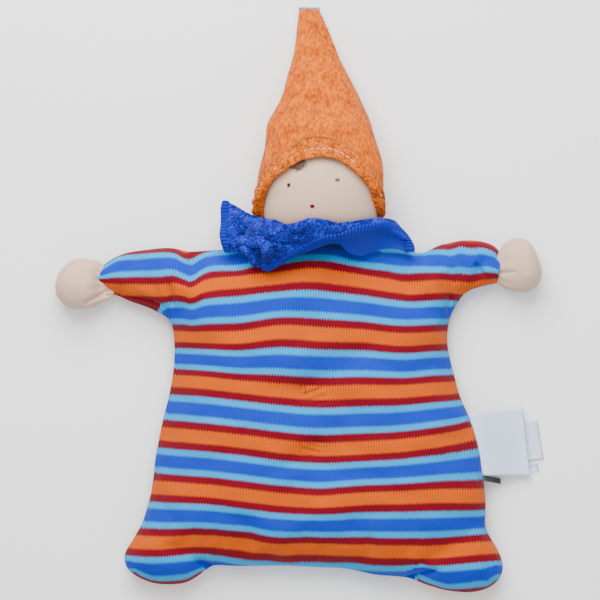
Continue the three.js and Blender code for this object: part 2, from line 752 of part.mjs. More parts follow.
function neckerchief() {
  const upperEnd = looseEnd(upperEndRows, upperEndFold);
  const lowerEnd = looseEnd(lowerEndRows, lowerEndFold);
  const knot = ball(knotAt, knotHalf, 14, 10);
  const bodyClear = layer((x, y) => frontHeight(x, y) + fit, backHeight);
  return collar().add(upperEnd).add(lowerEnd).add(knot).subtract(headClear).subtract(bodyClear);
}

// Labels sewn in the side seam. All droop to the surface along one curve.
const labelHinge = labelSpan.map((y) => {
  const slope = rightEdge(y + 0.5) - rightEdge(y - 0.5);
  const away = new THREE.Vector2(1, -slope).normalize();
  return new THREE.Vector2(rightEdge(y), y).addScaledVector(away, rootReach + fit + seamBow);
});
const labelAlong = labelHinge[1].clone().sub(labelHinge[0]);
labelAlong.normalize();
const labelOut = new THREE.Vector2(-labelAlong.y, labelAlong.x);
const droop = (away) => droopDepth * smooth(away / droopReach);

// A label is a strip across the seam direction, folded back on itself or single.
function label({ from, to, reach, level, folded }) {
  const thick = folded ? 2 * labelSheet + labelFold : labelSheet;
  const root = -Math.sqrt(rootReach ** 2 - Math.min(Math.abs(level) + thick / 2, rootReach * 0.95) ** 2);
  const end = reach - thick / 2;
  const edge = (half, steps) =>
    Array.from({ length: steps + 1 }, (_, n) => {
      const away = THREE.MathUtils.lerp(root, end, n / steps);
      return new THREE.Vector2(away, level + half - droop(away));
    });
  const turn = (half) =>
    [60, 30, 0, -30, -60].map((degrees) => {
      const angle = THREE.MathUtils.degToRad(degrees);
      return new THREE.Vector2(end + half * Math.cos(angle), level - droop(end) + half * Math.sin(angle));
    });
  const outer = [...edge(thick / 2, 10), ...turn(thick / 2), ...edge(-thick / 2, 10).reverse()];
  const inner = folded
    ? [...edge(-labelFold / 2, 10), ...turn(labelFold / 2).reverse(), ...edge(labelFold / 2, 10).reverse()]
    : [];
  const shape = new THREE.Shape([...outer, ...inner]);
  const strip = new THREE.ExtrudeGeometry(shape, { depth: to - from, bevelEnabled: false });
  const outward = new THREE.Vector3(labelOut.x, labelOut.y, 0);
  const along = new THREE.Vector3(labelAlong.x, labelAlong.y, 0);
  const basis = new THREE.Matrix4().makeBasis(outward, new THREE.Vector3(0, 0, 1), along);
  const place = new THREE.Vector3(labelHinge[0].x, labelHinge[0].y, seamHeight);
  basis.setPosition(place.addScaledVector(along, from));
  return solid(strip.applyMatrix4(basis));
}
const mainLabel = label(mainLabelSizes);
const secondLabel = label(secondLabelSizes);
const thirdLabel = label(thirdLabelSizes);
const darkTab = label(darkTabSizes);

const doll = new THREE.Group();
const materials = {
  stripes: new THREE.MeshStandardMaterial({ color: 0xe4782a, roughness: 0.9, metalness: 0 }),
  wool: new THREE.MeshStandardMaterial({ color: 0xe9e2d2, roughness: 1, metalness: 0 }),
  skin: new THREE.MeshStandardMaterial({ color: 0xd0c0b4, roughness: 0.85, metalness: 0 }),
  velour: new THREE.MeshStandardMaterial({ color: 0xee8020, roughness: 0.9, metalness: 0 }),
  terryLoop: new THREE.MeshStandardMaterial({ color: 0xeb8027, roughness: 0.95, metalness: 0 }),
  scarf: new THREE.MeshStandardMaterial({ color: 0x2b45b2, roughness: 0.95, metalness: 0 }),
  orangeThread: new THREE.MeshStandardMaterial({ color: 0xe07020, roughness: 0.6, metalness: 0 }),
  paleThread: new THREE.MeshStandardMaterial({ color: 0xe6e2dc, roughness: 0.6, metalness: 0 }),
  darkThread: new THREE.MeshStandardMaterial({ color: 0x3a2a22, roughness: 0.7, metalness: 0 }),
  redThread: new THREE.MeshStandardMaterial({ color: 0x9c2030, roughness: 0.7, metalness: 0 }),
  mohair: new THREE.MeshStandardMaterial({ color: 0x5a3c28, roughness: 0.8, metalness: 0 }),
  satin: new THREE.MeshStandardMaterial({ color: 0xd5dcec, roughness: 0.4, metalness: 0 }),
  darkTape: new THREE.MeshStandardMaterial({ color: 0x3c3c40, roughness: 0.6, metalness: 0 }),
};
const pieces = [
  ["torso_front_panel", frontPanel, materials.stripes],
  ["torso_back_panel", rested(backPanel), materials.stripes],
  ["torso_wadding", bodyWadding, materials.wool],
  ["upper_tuft_thread", tufts[0].thread, materials.orangeThread],
  ["lower_tuft_thread", tufts[1].thread, materials.orangeThread],
  ["left_sleeve", leftSleeve.cover, materials.stripes],
  ["right_sleeve", rightSleeve.cover, materials.stripes],
  ["left_arm_wadding", leftSleeve.wadding, materials.wool],
  ["right_arm_wadding", rightSleeve.wadding, materials.wool],
  ["left_hand_cover", leftHand.cover, materials.skin],
  ["right_hand_cover", rightHand.cover, materials.skin],
  ["left_hand_core", leftHand.core, materials.wool],
  ["right_hand_core", rightHand.core, materials.wool],
  ["left_wrist_thread", leftHand.thread, materials.paleThread],
  ["right_wrist_thread", rightHand.thread, materials.paleThread],
  ["left_foot_cover", leftFoot.cover, materials.stripes],
  ["right_foot_cover", rightFoot.cover, materials.stripes],
  ["left_foot_wadding", leftFoot.wadding, materials.wool],
  ["right_foot_wadding", rightFoot.wadding, materials.wool],
  ["neck_tube", neckTube, materials.skin],
  ["neck_thread", neckTie, materials.paleThread],
  ["head_cover", headCover, materials.skin],
  ["head_core", headCore, materials.wool],
  ["left_eye", sewn(leftEyeAt, eyeSize), materials.darkThread],
  ["right_eye", sewn(rightEyeAt, rightEyeSize), materials.darkThread],
  ["mouth", sewn(mouthAt, mouthSize), materials.redThread],
  ["hair_tuft", hairTuft(), materials.mohair],
  ["hat", capShell(), materials.velour],
  ["hat_hem", capHem(), materials.terryLoop],
  ["neckerchief", neckerchief(), materials.scarf],
  ["main_label", mainLabel, materials.satin],
  ["second_label", secondLabel, materials.satin],
  ["third_label", thirdLabel, materials.satin],
  ["dark_tab", darkTab, materials.darkTape],
];
for (const [name, body, material] of pieces) {
  const mesh = new THREE.Mesh(geometryOf(body), material);
  mesh.name = name;
  doll.add(mesh);
}

export default doll;
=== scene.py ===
"""Looks of a soft comforter doll that lies on its back: a quilted striped body, tied hands and a head in a terry
cap."""

import bpy
import numpy as np
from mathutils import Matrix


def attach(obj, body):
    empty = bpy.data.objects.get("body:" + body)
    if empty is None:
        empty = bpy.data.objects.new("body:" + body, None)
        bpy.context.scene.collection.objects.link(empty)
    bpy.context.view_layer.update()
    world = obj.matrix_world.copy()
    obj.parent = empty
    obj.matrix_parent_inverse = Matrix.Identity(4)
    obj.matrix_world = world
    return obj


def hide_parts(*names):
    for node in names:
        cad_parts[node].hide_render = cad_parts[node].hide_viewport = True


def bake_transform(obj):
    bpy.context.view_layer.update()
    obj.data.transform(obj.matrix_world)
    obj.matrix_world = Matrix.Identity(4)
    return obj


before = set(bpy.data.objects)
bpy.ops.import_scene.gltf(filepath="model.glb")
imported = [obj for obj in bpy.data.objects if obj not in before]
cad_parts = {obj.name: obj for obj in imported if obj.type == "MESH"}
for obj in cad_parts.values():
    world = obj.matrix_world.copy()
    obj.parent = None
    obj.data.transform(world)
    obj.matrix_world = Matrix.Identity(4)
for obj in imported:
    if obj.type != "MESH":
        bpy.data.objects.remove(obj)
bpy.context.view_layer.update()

bl_info = {
    "name": "Comforter doll",
    "version": (1, 0, 0),
    "blender": (4, 2, 0),
    "location": "3D View > Sidebar > Doll",
    "description": "Builds the pieces of a soft comforter doll and the stage that it lies on",
    "category": "Object",
}

MM = 0.001
SEAM_HEIGHT = 9.5
STRIPE_ROUND = 27.0
# From one rib to the next, of the skin's tricot and of the thread that binds the neckerchief's edge, and how wide
# that thread's hem is on the neckerchief's front and on its upper end, all in millimetres.
SKIN_RIB = 0.9
THREAD_RIB = 1.5
FRONT_HEM = 4.6
UPPER_HEM = 4.2


# ---------- lines and surfaces, in millimetres ----------


def smooth_line(points, count):
    """A smooth line through the points, as count points spaced evenly along its length.

    Between two points it is the cubic whose slope at each point is half the step between its neighbours."""
    p = np.asarray(points, float)
    ends = np.vstack([2 * p[0] - p[1], p, 2 * p[-1] - p[-2]])
    t = np.linspace(0, 1, 24, endpoint=False)[:, None, None]
    a, b, c, d = ends[:-3], ends[1:-2], ends[2:-1], ends[3:]
    dense = 0.5 * (
        2 * b
        + (c - a) * t
        + (2 * a - 5 * b + 4 * c - d) * t**2
        + (3 * b - a - 3 * c + d) * t**3
    )
    dense = np.vstack([dense.transpose(1, 0, 2).reshape(-1, p.shape[1]), p[-1:]])
    along = np.r_[0, np.cumsum(np.linalg.norm(np.diff(dense, axis=0), axis=1))]
    steps = np.linspace(0, along[-1], count)
    return np.stack([np.interp(steps, along, dense[:, k]) for k in range(p.shape[1])], axis=1)


def smooth_rows(rows, at):
    """Rows of numbers read smoothly at other places: the first number of each row is its place."""
    rows = np.asarray(rows, float)
    line = smooth_line(rows, 400)
    return np.stack([np.interp(at, line[:, 0], line[:, k]) for k in range(1, rows.shape[1])], axis=-1)


def patch(left, right, bottom, top):
    """A grid stretched between four edge lines: the two straight blends of opposite edges, less the blend of the
    corners."""
    v = np.linspace(0, 1, len(left))[:, None, None]
    u = np.linspace(0, 1, len(bottom))[None, :, None]
    corners = (
        (1 - u) * (1 - v) * bottom[0]
        + u * (1 - v) * bottom[-1]
        + (1 - u) * v * top[0]
        + u * v * top[-1]
    )
    return (
        (1 - v) * bottom[None]
        + v * top[None]
        + (1 - u) * left[:, None]
        + u * right[:, None]
        - corners
    )


def ease(x):
    """0 below 0, 1 above 1, and a smooth S between."""
    x = np.clip(x, 0, 1)
    return x * x * (3 - 2 * x)


def bell(x, wide):
    """1 at 0, falling off smoothly to both sides over about wide."""
    return np.exp(-((x / wide) ** 2))


def unit(vectors):
    """The vectors, each made one long."""
    return vectors / np.maximum(np.linalg.norm(vectors, axis=-1, keepdims=True), 1e-9)


def shares(rows, columns):
    """For each point of a grid, its share of the way from the first row to the last and from the first column to the
    last."""
    return np.meshgrid(np.linspace(0, 1, rows), np.linspace(0, 1, columns), indexing="ij")


def length_along(grid, axis):
    """How far each point of a grid lies from the grid's first row (axis 0) or first column (axis 1), along the
    cloth."""
    steps = np.diff(grid, axis=axis, prepend=np.take(grid, [0], axis))
    return np.cumsum(np.linalg.norm(steps, axis=-1), axis=axis)


def waves(points, size, seed, count=24):
    """A smooth random field between about -1 and 1: a sum of sines in random directions, whose waves are about size
    long."""
    rng = np.random.default_rng(seed)
    directions = unit(rng.normal(size=(count, points.shape[-1])))
    lengths = size * rng.uniform(0.7, 1.6, count)
    phases = rng.uniform(0, 2 * np.pi, count)
    turns = points @ (directions / lengths[:, None]).T * 2 * np.pi + phases
    return np.sin(turns).sum(axis=-1) / np.sqrt(count) * 0.8


def grid_faces(rows, columns, looped=False, turned=False):
    """The four-sided faces of a grid of rows by columns. A looped grid joins its last column to its first."""
    spans = columns if looped else columns - 1
    r, c = np.meshgrid(np.arange(rows - 1), np.arange(spans), indexing="ij")
    d = (c + 1) % columns
    low, high = r * columns, (r + 1) * columns
    faces = np.stack([low + c, low + d, high + d, high + c], -1).reshape(-1, 4)
    return faces[:, ::-1] if turned else faces


def tube_faces(rows, columns):
    """The faces of a grid that goes round, with its first and last ring each closed by one flat face."""
    first = np.arange(columns)
    return [grid_faces(rows, columns, looped=True), np.stack([first[::-1], first + (rows - 1) * columns])]


def outward(points, faces):
    """The faces, all turned over if they would enclose a negative volume: a third of each face's area times its
    height over the middle."""
    points = np.asarray(points, float) - np.mean(points, axis=0)
    volume = 0
    for sides in faces:
        for k in range(1, sides.shape[1] - 1):
            a, b, c = points[sides[:, 0]], points[sides[:, k]], points[sides[:, k + 1]]
            volume += (a * np.cross(b, c)).sum()
    return [sides[:, ::-1] for sides in faces] if volume < 0 else faces


def surface(name, points, faces, material, cloth=None):
    """A smooth mesh object from points in millimetres and lists of face arrays. cloth gives each point its place on
    the flat cloth, in millimetres."""
    mesh = bpy.data.meshes.new(name)
    faces = outward(points, [faces] if isinstance(faces, np.ndarray) else faces)
    sides = np.concatenate([np.full(len(f), f.shape[1]) for f in faces])
    corners = np.concatenate([f.ravel() for f in faces])
    mesh.vertices.add(len(points))
    mesh.vertices.foreach_set("co", (np.asarray(points) * MM).astype(np.float32).ravel())
    mesh.loops.add(len(corners))
    mesh.loops.foreach_set("vertex_index", corners.astype(np.int32))
    mesh.polygons.add(len(sides))
    mesh.polygons.foreach_set("loop_start", np.r_[0, np.cumsum(sides)[:-1]].astype(np.int32))
    mesh.update(calc_edges=True)
    mesh.validate()
    mesh.polygons.foreach_set("use_smooth", np.ones(len(sides), bool))
    if cloth is not None:
        flat = np.zeros((len(points), 3))
        flat[:, : cloth.shape[1]] = cloth
        places = mesh.attributes.new("cloth", "FLOAT_VECTOR", "POINT")
        places.data.foreach_set("vector", flat.astype(np.float32).ravel())
    if material is not None:
        mesh.materials.append(material)
    piece = bpy.data.objects.new(name, mesh)
    bpy.context.scene.collection.objects.link(piece)
    return piece


def points_of(piece):
    """The points of a mesh object, in millimetres."""
    co = np.zeros(len(piece.data.vertices) * 3, np.float32)
    piece.data.vertices.foreach_get("co", co)
    return co.reshape(-1, 3).astype(float) / MM


def move_points(piece, points):
    """Puts a mesh object's points at these places, in millimetres."""
    piece.data.vertices.foreach_set("co", (points * MM).astype(np.float32).ravel())
    piece.data.update()


def apply_modifiers(piece):
    """Makes what the modifiers show into the piece's own mesh."""
    graph = bpy.context.evaluated_depsgraph_get()
    mesh = bpy.data.meshes.new_from_object(piece.evaluated_get(graph), preserve_all_data_layers=True, depsgraph=graph)
    piece.modifiers.clear()
    piece.data = mesh
    return piece


def subdivide(piece, levels):
    """Splits each face into four smooth ones, levels times, and keeps the result."""
    modifier = piece.modifiers.new("finer", "SUBSURF")
    modifier.levels = modifier.render_levels = levels
    return apply_modifiers(piece)


def settle(piece, held, pressure, slack, frames, most):
    """Lets cloth find its own shape: it is blown up a little from inside, cut larger by the share slack, and held at
    some points.

    No point ends further than most millimetres from where it began."""
    start = points_of(piece)
    group = piece.vertex_groups.new(name="held")
    for level in np.unique(np.round(held, 2)):
        if level > 0:
            group.add(np.nonzero(np.round(held, 2) == level)[0].tolist(), float(level), "REPLACE")
    cloth = piece.modifiers.new("cloth", "CLOTH")
    s = cloth.settings
    s.quality = 6
    s.mass = 0.15
    s.tension_stiffness = s.compression_stiffness = 15
    s.shear_stiffness = 5
    s.bending_stiffness = 0.3
    s.vertex_group_mass = "held"
    s.pin_stiffness = 1
    s.use_pressure = pressure > 0
    s.uniform_pressure_force = pressure
    s.shrink_min = -slack
    s.effector_weights.gravity = 0
    cloth.collision_settings.use_collision = False
    cloth.collision_settings.use_self_collision = False
    cloth.point_cache.frame_start, cloth.point_cache.frame_end = 1, frames
    scene = bpy.context.scene
    for number in range(1, frames + 1):
        scene.frame_set(number)
    apply_modifiers(piece)
    scene.frame_set(1)
    step = points_of(piece) - start
    length = np.linalg.norm(step, axis=1, keepdims=True)
    step *= np.minimum(1, most * np.tanh(length / most) / np.maximum(length, 1e-9))
    move_points(piece, start + step)
    piece.vertex_groups.clear()
    return piece


# ---------- sizes and colours that a user may change ----------


def linear(code):
    """A colour written as on screen, #rrggbb, turned into the linear numbers that the shader works in."""
    s = np.array([int(code[i : i + 2], 16) for i in (1, 3, 5)]) / 255
    return (*np.where(s <= 0.04045, s / 12.92, ((s + 0.055) / 1.055) ** 2.4), 1.0)


def colour_of(name, description, code):
    """A colour property whose default is written as on screen."""
    return bpy.props.FloatVectorProperty(
        name=name, description=description, subtype="COLOR", size=4, min=0, max=1, default=linear(code)
    )


def length_of(name, description, millimetres):
    """A length property whose default is given in millimetres."""
    return bpy.props.FloatProperty(
        name=name, description=description, unit="LENGTH", min=0, precision=5, default=millimetres * MM
    )


class DollSizes(bpy.types.PropertyGroup):
    """Sizes of the cloth, threads and wadding."""

    rib_spacing: length_of("Rib spacing", "From one rib of the striped jersey to the next", 1.4)
    pressure: bpy.props.FloatProperty(
        name="Wadding pressure", description="How hard the wadding pushes the body's cloth outward",
        default=2.0, min=0, max=10,
    )
    swell: length_of("Greatest swell", "How far the wadding may push the body's cloth at most", 2.4)
    terry_thickness: length_of("Terry thickness", "Thickness of the neckerchief's cloth", 1.6)
    brim_width: length_of("Hem width", "Width of the cap's turned-up hem", 10.4)
    stitch_radius: length_of("Stitch radius", "Half the thickness of the running stitches on the cap's hem", 0.13)
    tuft_thread_radius: length_of("Tuft thread radius", "Half the thickness of the threads through the body", 0.22)
    hair_radius: length_of("Hair radius", "Half the thickness of a strand of mohair", 0.13)
    hair_strands: bpy.props.IntProperty(
        name="Hair strands", description="Strands of mohair under the cap's hem", default=60, min=1, max=400
    )
    label_thickness: length_of("Label thickness", "Thickness of the woven tape", 0.22)


class DollColours(bpy.types.PropertyGroup):
    """Colours of the cloths and threads."""

    orange: colour_of("Orange stripe", "Widest stripe of the jersey, with the blue one", "#BE4E00")
    red: colour_of("Red stripe", "Narrow stripe on each side of the orange one", "#6E0216")
    light_blue: colour_of("Light blue stripe", "Narrow stripe on each side of the blue one", "#0090CE")
    blue: colour_of("Blue stripe", "Wide stripe between two light blue ones", "#0A34AC")
    skin: colour_of("Skin", "Cotton tricot of the head and hands", "#CDAE97")
    velour: colour_of("Cap", "Sheared pile of the cap", "#C05800")
    # The cap's next two colours are painted shade between its pile and a painted highlight on the pile's tips.
    velour_painted_shade: colour_of("Cap, between", "Depth between the cap's pile", "#983C00")
    velour_painted_highlight: colour_of("Cap, tips", "Tips of the cap's pile", "#DA7000")
    terry: colour_of("Hem", "Loops of the cap's hem", "#B85406")
    # The hem's next two colours are painted shade between its loops and a painted highlight on the loops' tips.
    terry_painted_shade: colour_of("Hem, between", "Depth between the hem's loops", "#6A2C04")
    terry_painted_highlight: colour_of("Hem, tips", "Tips of the hem's loops", "#D66E10")
    scarf: colour_of("Neckerchief", "Loops of the neckerchief", "#12208E")
    # The neckerchief's next two colours are painted shade between its loops and a painted highlight on the loops' tips.
    scarf_painted_shade: colour_of("Neckerchief, between", "Depth between the neckerchief's loops", "#060A40")
    scarf_painted_highlight: colour_of("Neckerchief, tips", "Tips of the neckerchief's loops", "#2A40CC")
    scarf_inside: colour_of("Neckerchief, inside", "Smooth side of the neckerchief's cloth", "#162C9C")
    scarf_thread: colour_of("Neckerchief, edge thread", "Thread that binds the neckerchief's edge", "#10249A")
    tuft: colour_of("Tuft thread", "Thread through the body", "#DE4E08")
    pale: colour_of("Pale thread", "Running stitches and the tie of the wrist", "#E9E6DE")
    edge: colour_of("Hem edge", "Thread over the upper edge of the cap's hem", "#A6601C")
    tip: colour_of("Tip thread", "Overlock thread at the cap's cut tip", "#8C98B4")
    left_eye: colour_of("Left eye", "Thread of the eye on the left of the picture", "#3A2A22")
    right_eye: colour_of("Right eye", "Thread of the eye on the right of the picture", "#6B5A4C")
    mouth: colour_of("Mouth", "Thread of the mouth", "#5C061A")
    mohair: colour_of("Hair", "Mohair yarn", "#7A6456")
    satin: colour_of("Label", "Woven satin tape", "#C8D8EE")
    tape: colour_of("Dark tab", "Woven tape of the small tab", "#33343A")


def sizes():
    """The sizes as the user has them."""
    return bpy.context.scene.doll_sizes


def colours():
    """The colours as the user has them."""
    return bpy.context.scene.doll_colours


# ---------- materials ----------


def node(tree, kind, inputs=(), out=0, stops=(), **settings):
    """Adds one node with its settings, and gives its output. inputs, in order or by name, are numbers, colours or
    other nodes' outputs, and stops are a colour ramp's places and colours."""
    made = tree.nodes.new("ShaderNode" + kind)
    for key, value in settings.items():
        setattr(made, key, value)
    for key, value in inputs.items() if isinstance(inputs, dict) else enumerate(inputs):
        if isinstance(value, bpy.types.NodeSocket):
            tree.links.new(value, made.inputs[key])
        else:
            made.inputs[key].default_value = value
    for number, (place, colour) in enumerate(stops):
        element = made.color_ramp.elements[number] if number < 2 else made.color_ramp.elements.new(1)
        element.position = place
        element.color = colour
    return made.outputs[out]


def new_material(name):
    """An empty material, and its node tree and shader."""
    material = bpy.data.materials.new(name)
    material.use_nodes = True
    tree = material.node_tree
    shader = tree.nodes["Principled BSDF"]
    return material, tree, shader


def shade(tree, colour, dark, light, factor):
    """A colour multiplied by something between dark and light, as factor goes from 0 to 1."""
    scale = node(tree, "MapRange", (factor, 0.0, 1.0, dark, light))
    colour = colour if isinstance(colour, bpy.types.NodeSocket) else colour[:3]
    return node(tree, "VectorMath", {0: colour, 3: scale}, operation="SCALE")


def fabric(shader, roughness=0.9, sheen=0.25):
    """What all these cloths share: no gloss, and a faint light fuzz at grazing angles."""
    shader.inputs["Roughness"].default_value = roughness
    shader.inputs["Specular IOR Level"].default_value = 0.1
    shader.inputs["Sheen Weight"].default_value = sheen
    shader.inputs["Sheen Roughness"].default_value = 0.5


def cloth_place(tree):
    """Where on the flat cloth a point lies, in millimetres: across the ribs and along them."""
    where = node(tree, "Attribute", out="Vector", attribute_name="cloth")
    across = node(tree, "SeparateXYZ", (where,))
    return where, across, across.node.outputs[1]


def striped_jersey(name):
    """Cotton jersey knitted in stripes. Each edge between two colours shows the knit's ribs as small teeth 1.4 mm
    apart."""
    material, tree, shader = new_material(name)
    where, across, along = cloth_place(tree)
    half_rib = sizes().rib_spacing / MM / 2
    tooth = node(tree, "Math", (across, half_rib), operation="PINGPONG")
    uneven = node(tree, "TexNoise", {"Vector": where, "Scale": 0.55, "Detail": 1.0}, "Fac")
    shifted = node(tree, "Math", (tooth, 1.8, along), operation="MULTIPLY_ADD")
    shifted = node(tree, "Math", (uneven, 0.5, shifted), operation="MULTIPLY_ADD")
    shifted = node(tree, "Math", (shifted, 0.9), operation="SUBTRACT")
    place = node(tree, "Math", (shifted, STRIPE_ROUND), operation="FLOORED_MODULO")
    place = node(tree, "Math", (place, STRIPE_ROUND), operation="DIVIDE")
    c = colours()
    stops = [(0, c.orange), (0.125, c.red), (0.268, c.light_blue), (0.384, c.blue)]
    stops += [(0.622, c.light_blue), (0.738, c.red), (0.882, c.orange)]
    colour = node(tree, "ValToRGB", (place,), stops=stops)
    colour.node.color_ramp.interpolation = "CONSTANT"
    # The ribs catch the light and the lines between them are a little darker.
    rib = node(tree, "Math", (tooth, half_rib), operation="DIVIDE")
    fuzz = node(tree, "TexNoise", {"Vector": where, "Scale": 1.6, "Detail": 3.0}, "Fac")
    colour = shade(tree, colour, 0.89, 1.05, rib)
    colour = shade(tree, colour, 0.66, 1.34, fuzz)
    tree.links.new(colour, shader.inputs["Base Color"])
    course = node(tree, "Math", (rib, 0.5, along), operation="MULTIPLY_ADD")
    course = node(tree, "Math", (course, 0.55), operation="PINGPONG")
    height = node(tree, "Math", (rib, 0.6), operation="MULTIPLY")
    height = node(tree, "Math", (course, 0.5, height), operation="MULTIPLY_ADD")
    height = node(tree, "Math", (fuzz, 0.8, height), operation="MULTIPLY_ADD")
    bump = node(tree, "Bump", {"Height": height, "Strength": 0.55, "Distance": 0.00022})
    tree.links.new(bump, shader.inputs["Normal"])
    fabric(shader, 0.9, 0.08)
    return material


# ---------- the body ----------

UNDERARMS = [(-72.5, 47.0), (73.0, 50.6)]
SHOULDERS = [(-72.0, 82.9), (71.0, 85.4)]
LEFT_SIDE = [
    (-95.0, -76.8), (-94.9, -73.6), (-93.0, -70.0), (-90.4, -66.2), (-88.4, -62.3), (-85.8, -58.0), (-83.3, -50.0),
    (-81.2, -41.9), (-79.9, -33.0), (-79.2, -25.6), (-77.7, -17.4), (-76.1, -9.2), (-74.1, -1.0), (-72.1, 7.2),
    (-70.5, 15.3), (-69.5, 23.5), (-69.3, 32.0), (-69.7, 39.0), (-70.6, 43.6), UNDERARMS[0],
]
RIGHT_SIDE = [
    (98.8, -81.0), (98.2, -77.0), (96.6, -72.6), (94.0, -68.0), (91.4, -64.0), (89.6, -59.5), (89.6, -54.2),
    (89.9, -48.0), (89.2, -40.0), (88.2, -30.0), (86.6, -20.0), (83.6, -9.0), (80.2, -1.0), (76.6, 7.2), (74.4, 15.3),
    (72.2, 23.5), (70.6, 31.0), (70.2, 38.0), (71.0, 45.0), UNDERARMS[1],
]
HEM = [
    (-95.0, -76.8), (-93.6, -81.1), (-89.3, -84.7), (-83.5, -87.5), (-78.5, -88.9), (-70.0, -89.2), (-63.5, -88.3),
    (-58.0, -85.4), (-53.0, -81.6), (-49.0, -79.3), (-42.0, -79.6), (-34.2, -79.8), (-22.0, -79.6), (-9.2, -79.7),
    (5.0, -80.4), (17.0, -80.9), (24.0, -82.2), (33.2, -84.2), (42.0, -84.9), (49.6, -85.6), (54.0, -87.0),
    (58.3, -88.9), (69.0, -92.1), (79.7, -93.3), (86.9, -92.5), (92.7, -90.2), (97.2, -86.0), (98.8, -81.0),
]
TOP = [
    SHOULDERS[0], (-68.3, 82.5), (-62.4, 81.0), (-56.6, 81.2), (-50.7, 81.6), (-40.0, 82.2), (0.0, 84.6),
    (25.0, 84.8), (40.0, 83.0), (51.3, 81.2), (57.5, 80.2), (62.2, 82.3), (66.3, 84.3), SHOULDERS[1],
]
LEFT_UNDER = [
    (-107.4, 63.0), (-102.8, 59.8), (-97.7, 58.4), (-95.3, 57.0), (-91.8, 55.4), (-86.0, 53.6), (-80.1, 51.2),
    UNDERARMS[0],
]
LEFT_OVER = [(-108.6, 71.4), (-103.6, 75.6), (-98.3, 78.8), (-91.8, 80.8), (-83.0, 82.0), (-76.0, 82.8), SHOULDERS[0]]
RIGHT_UNDER = [UNDERARMS[1], (75.1, 54.0), (78.0, 58.4), (82.0, 61.2), (87.4, 63.0), (91.5, 64.0), (96.2, 64.9)]
RIGHT_OVER = [SHOULDERS[1], (76.9, 86.6), (82.7, 86.8), (88.6, 86.0), (93.3, 84.4), (96.6, 81.6), (97.8, 78.4)]
TUFTS = [(1.0, 10.4), (0.8, -20.0)]
# Each foot: the middle of its fold, and the way it points.
FEET = {"left_foot": ((-68.75, -70.75), (-0.404, -0.915)), "right_foot": ((69.75, -73.55), (0.468, -0.884))}
# Heights of the middles of the six orange stripes, top to bottom, at places across the body.
STRIPE_LINES = [
    (-97.1, 62.3, 37.8, 15.8, -11.2, -40.4, -66.9),
    (-76.7, 61.3, 37.8, 15.6, -11.8, -39.3, -67.2),
    (-56.2, 60.8, 37.0, 14.6, -13.3, -40.1, -65.9),
    (-35.8, 64.6, 37.0, 12.3, -15.3, -42.2, -68.5),
    (-15.3, 67.7, 39.9, 10.2, -17.9, -44.7, -70.8),
    (5.1, 68.2, 38.6, 8.9, -19.7, -46.0, -70.8),
    (25.6, 65.4, 37.6, 9.5, -18.9, -44.5, -71.5),
    (46.0, 62.3, 35.8, 9.7, -17.6, -43.6, -71.5),
    (66.4, 63.1, 37.0, 11.2, -14.8, -42.9, -71.5),
    (86.9, 65.6, 37.3, 12.3, -10.7, -43.9, -70.0),
]
# The same for the orange stripe over the top edge, the blue stripe below it and the first orange stripe, which bend
# with the folds of the sleeves.
TOP_LINES = [
    (-107.3, 75.5, 69.9, 63.9), (-102.2, 80.0, 72.0, 62.6), (-97.6, 83.2, 73.6, 61.3), (-84.3, 84.7, 74.1, 60.8),
    (-74.1, 86.1, 74.6, 60.8), (-69.0, 85.2, 74.6, 61.6), (-64.3, 83.0, 72.2, 60.9), (-60.5, 84.0, 71.2, 59.6),
    (-53.7, 86.0, 75.4, 62.9), (-45.0, 87.5, 77.2, 64.4), (-38.3, 89.0, 77.6, 64.9), (-15.3, 94.0, 81.2, 67.7),
    (5.1, 95.0, 82.0, 68.2), (25.6, 91.5, 78.6, 65.2), (46.0, 88.6, 76.4, 62.3), (66.4, 87.4, 76.4, 63.1),
    (71.5, 87.6, 75.4, 62.9), (76.7, 89.7, 76.6, 62.1), (81.8, 89.0, 75.9, 61.8), (88.0, 89.4, 76.6, 63.4),
    (92.0, 87.6, 75.4, 63.9), (97.1, 81.0, 74.4, 66.0),
]
LINE_PLACES = np.array([-27, -13.4, 0, 27, 54, 81, 108, 135, 162])


def stripe_place(flat):
    """How far down the round of stripes a point of the front lies, in millimetres: 27 mm from one orange stripe's
    middle to the next."""
    top, lower = smooth_rows(TOP_LINES, flat[..., 0]), smooth_rows(STRIPE_LINES, flat[..., 0])
    lines = np.concatenate([top, lower[..., 1:], lower[..., -1:] - 27.3], axis=-1)
    over = np.clip((flat[..., 1:2] < lines).sum(axis=-1), 1, lines.shape[-1] - 1)
    high = np.take_along_axis(lines, over[..., None] - 1, -1)[..., 0]
    low = np.take_along_axis(lines, over[..., None], -1)[..., 0]
    share = (high - flat[..., 1]) / (high - low)
    return LINE_PLACES[over - 1] + share * (LINE_PLACES[over] - LINE_PLACES[over - 1])


def edge_distance(flat, outline):
    """The distance from each point to the nearest point of the outline."""
    shape = flat.shape[:-1]
    flat = flat.reshape(-1, 2)
    return np.sqrt(((flat[:, None] - outline[None]) ** 2).sum(-1)).min(1).reshape(shape)


def segment_distance(flat, a, b):
    """The distance from each point to the straight line from a to b."""
    a, b = np.array(a), np.array(b)
    t = np.clip(((flat - a) @ (b - a)) / ((b - a) @ (b - a)), 0, 1)
    return np.linalg.norm(flat - a - t[..., None] * (b - a), axis=-1)


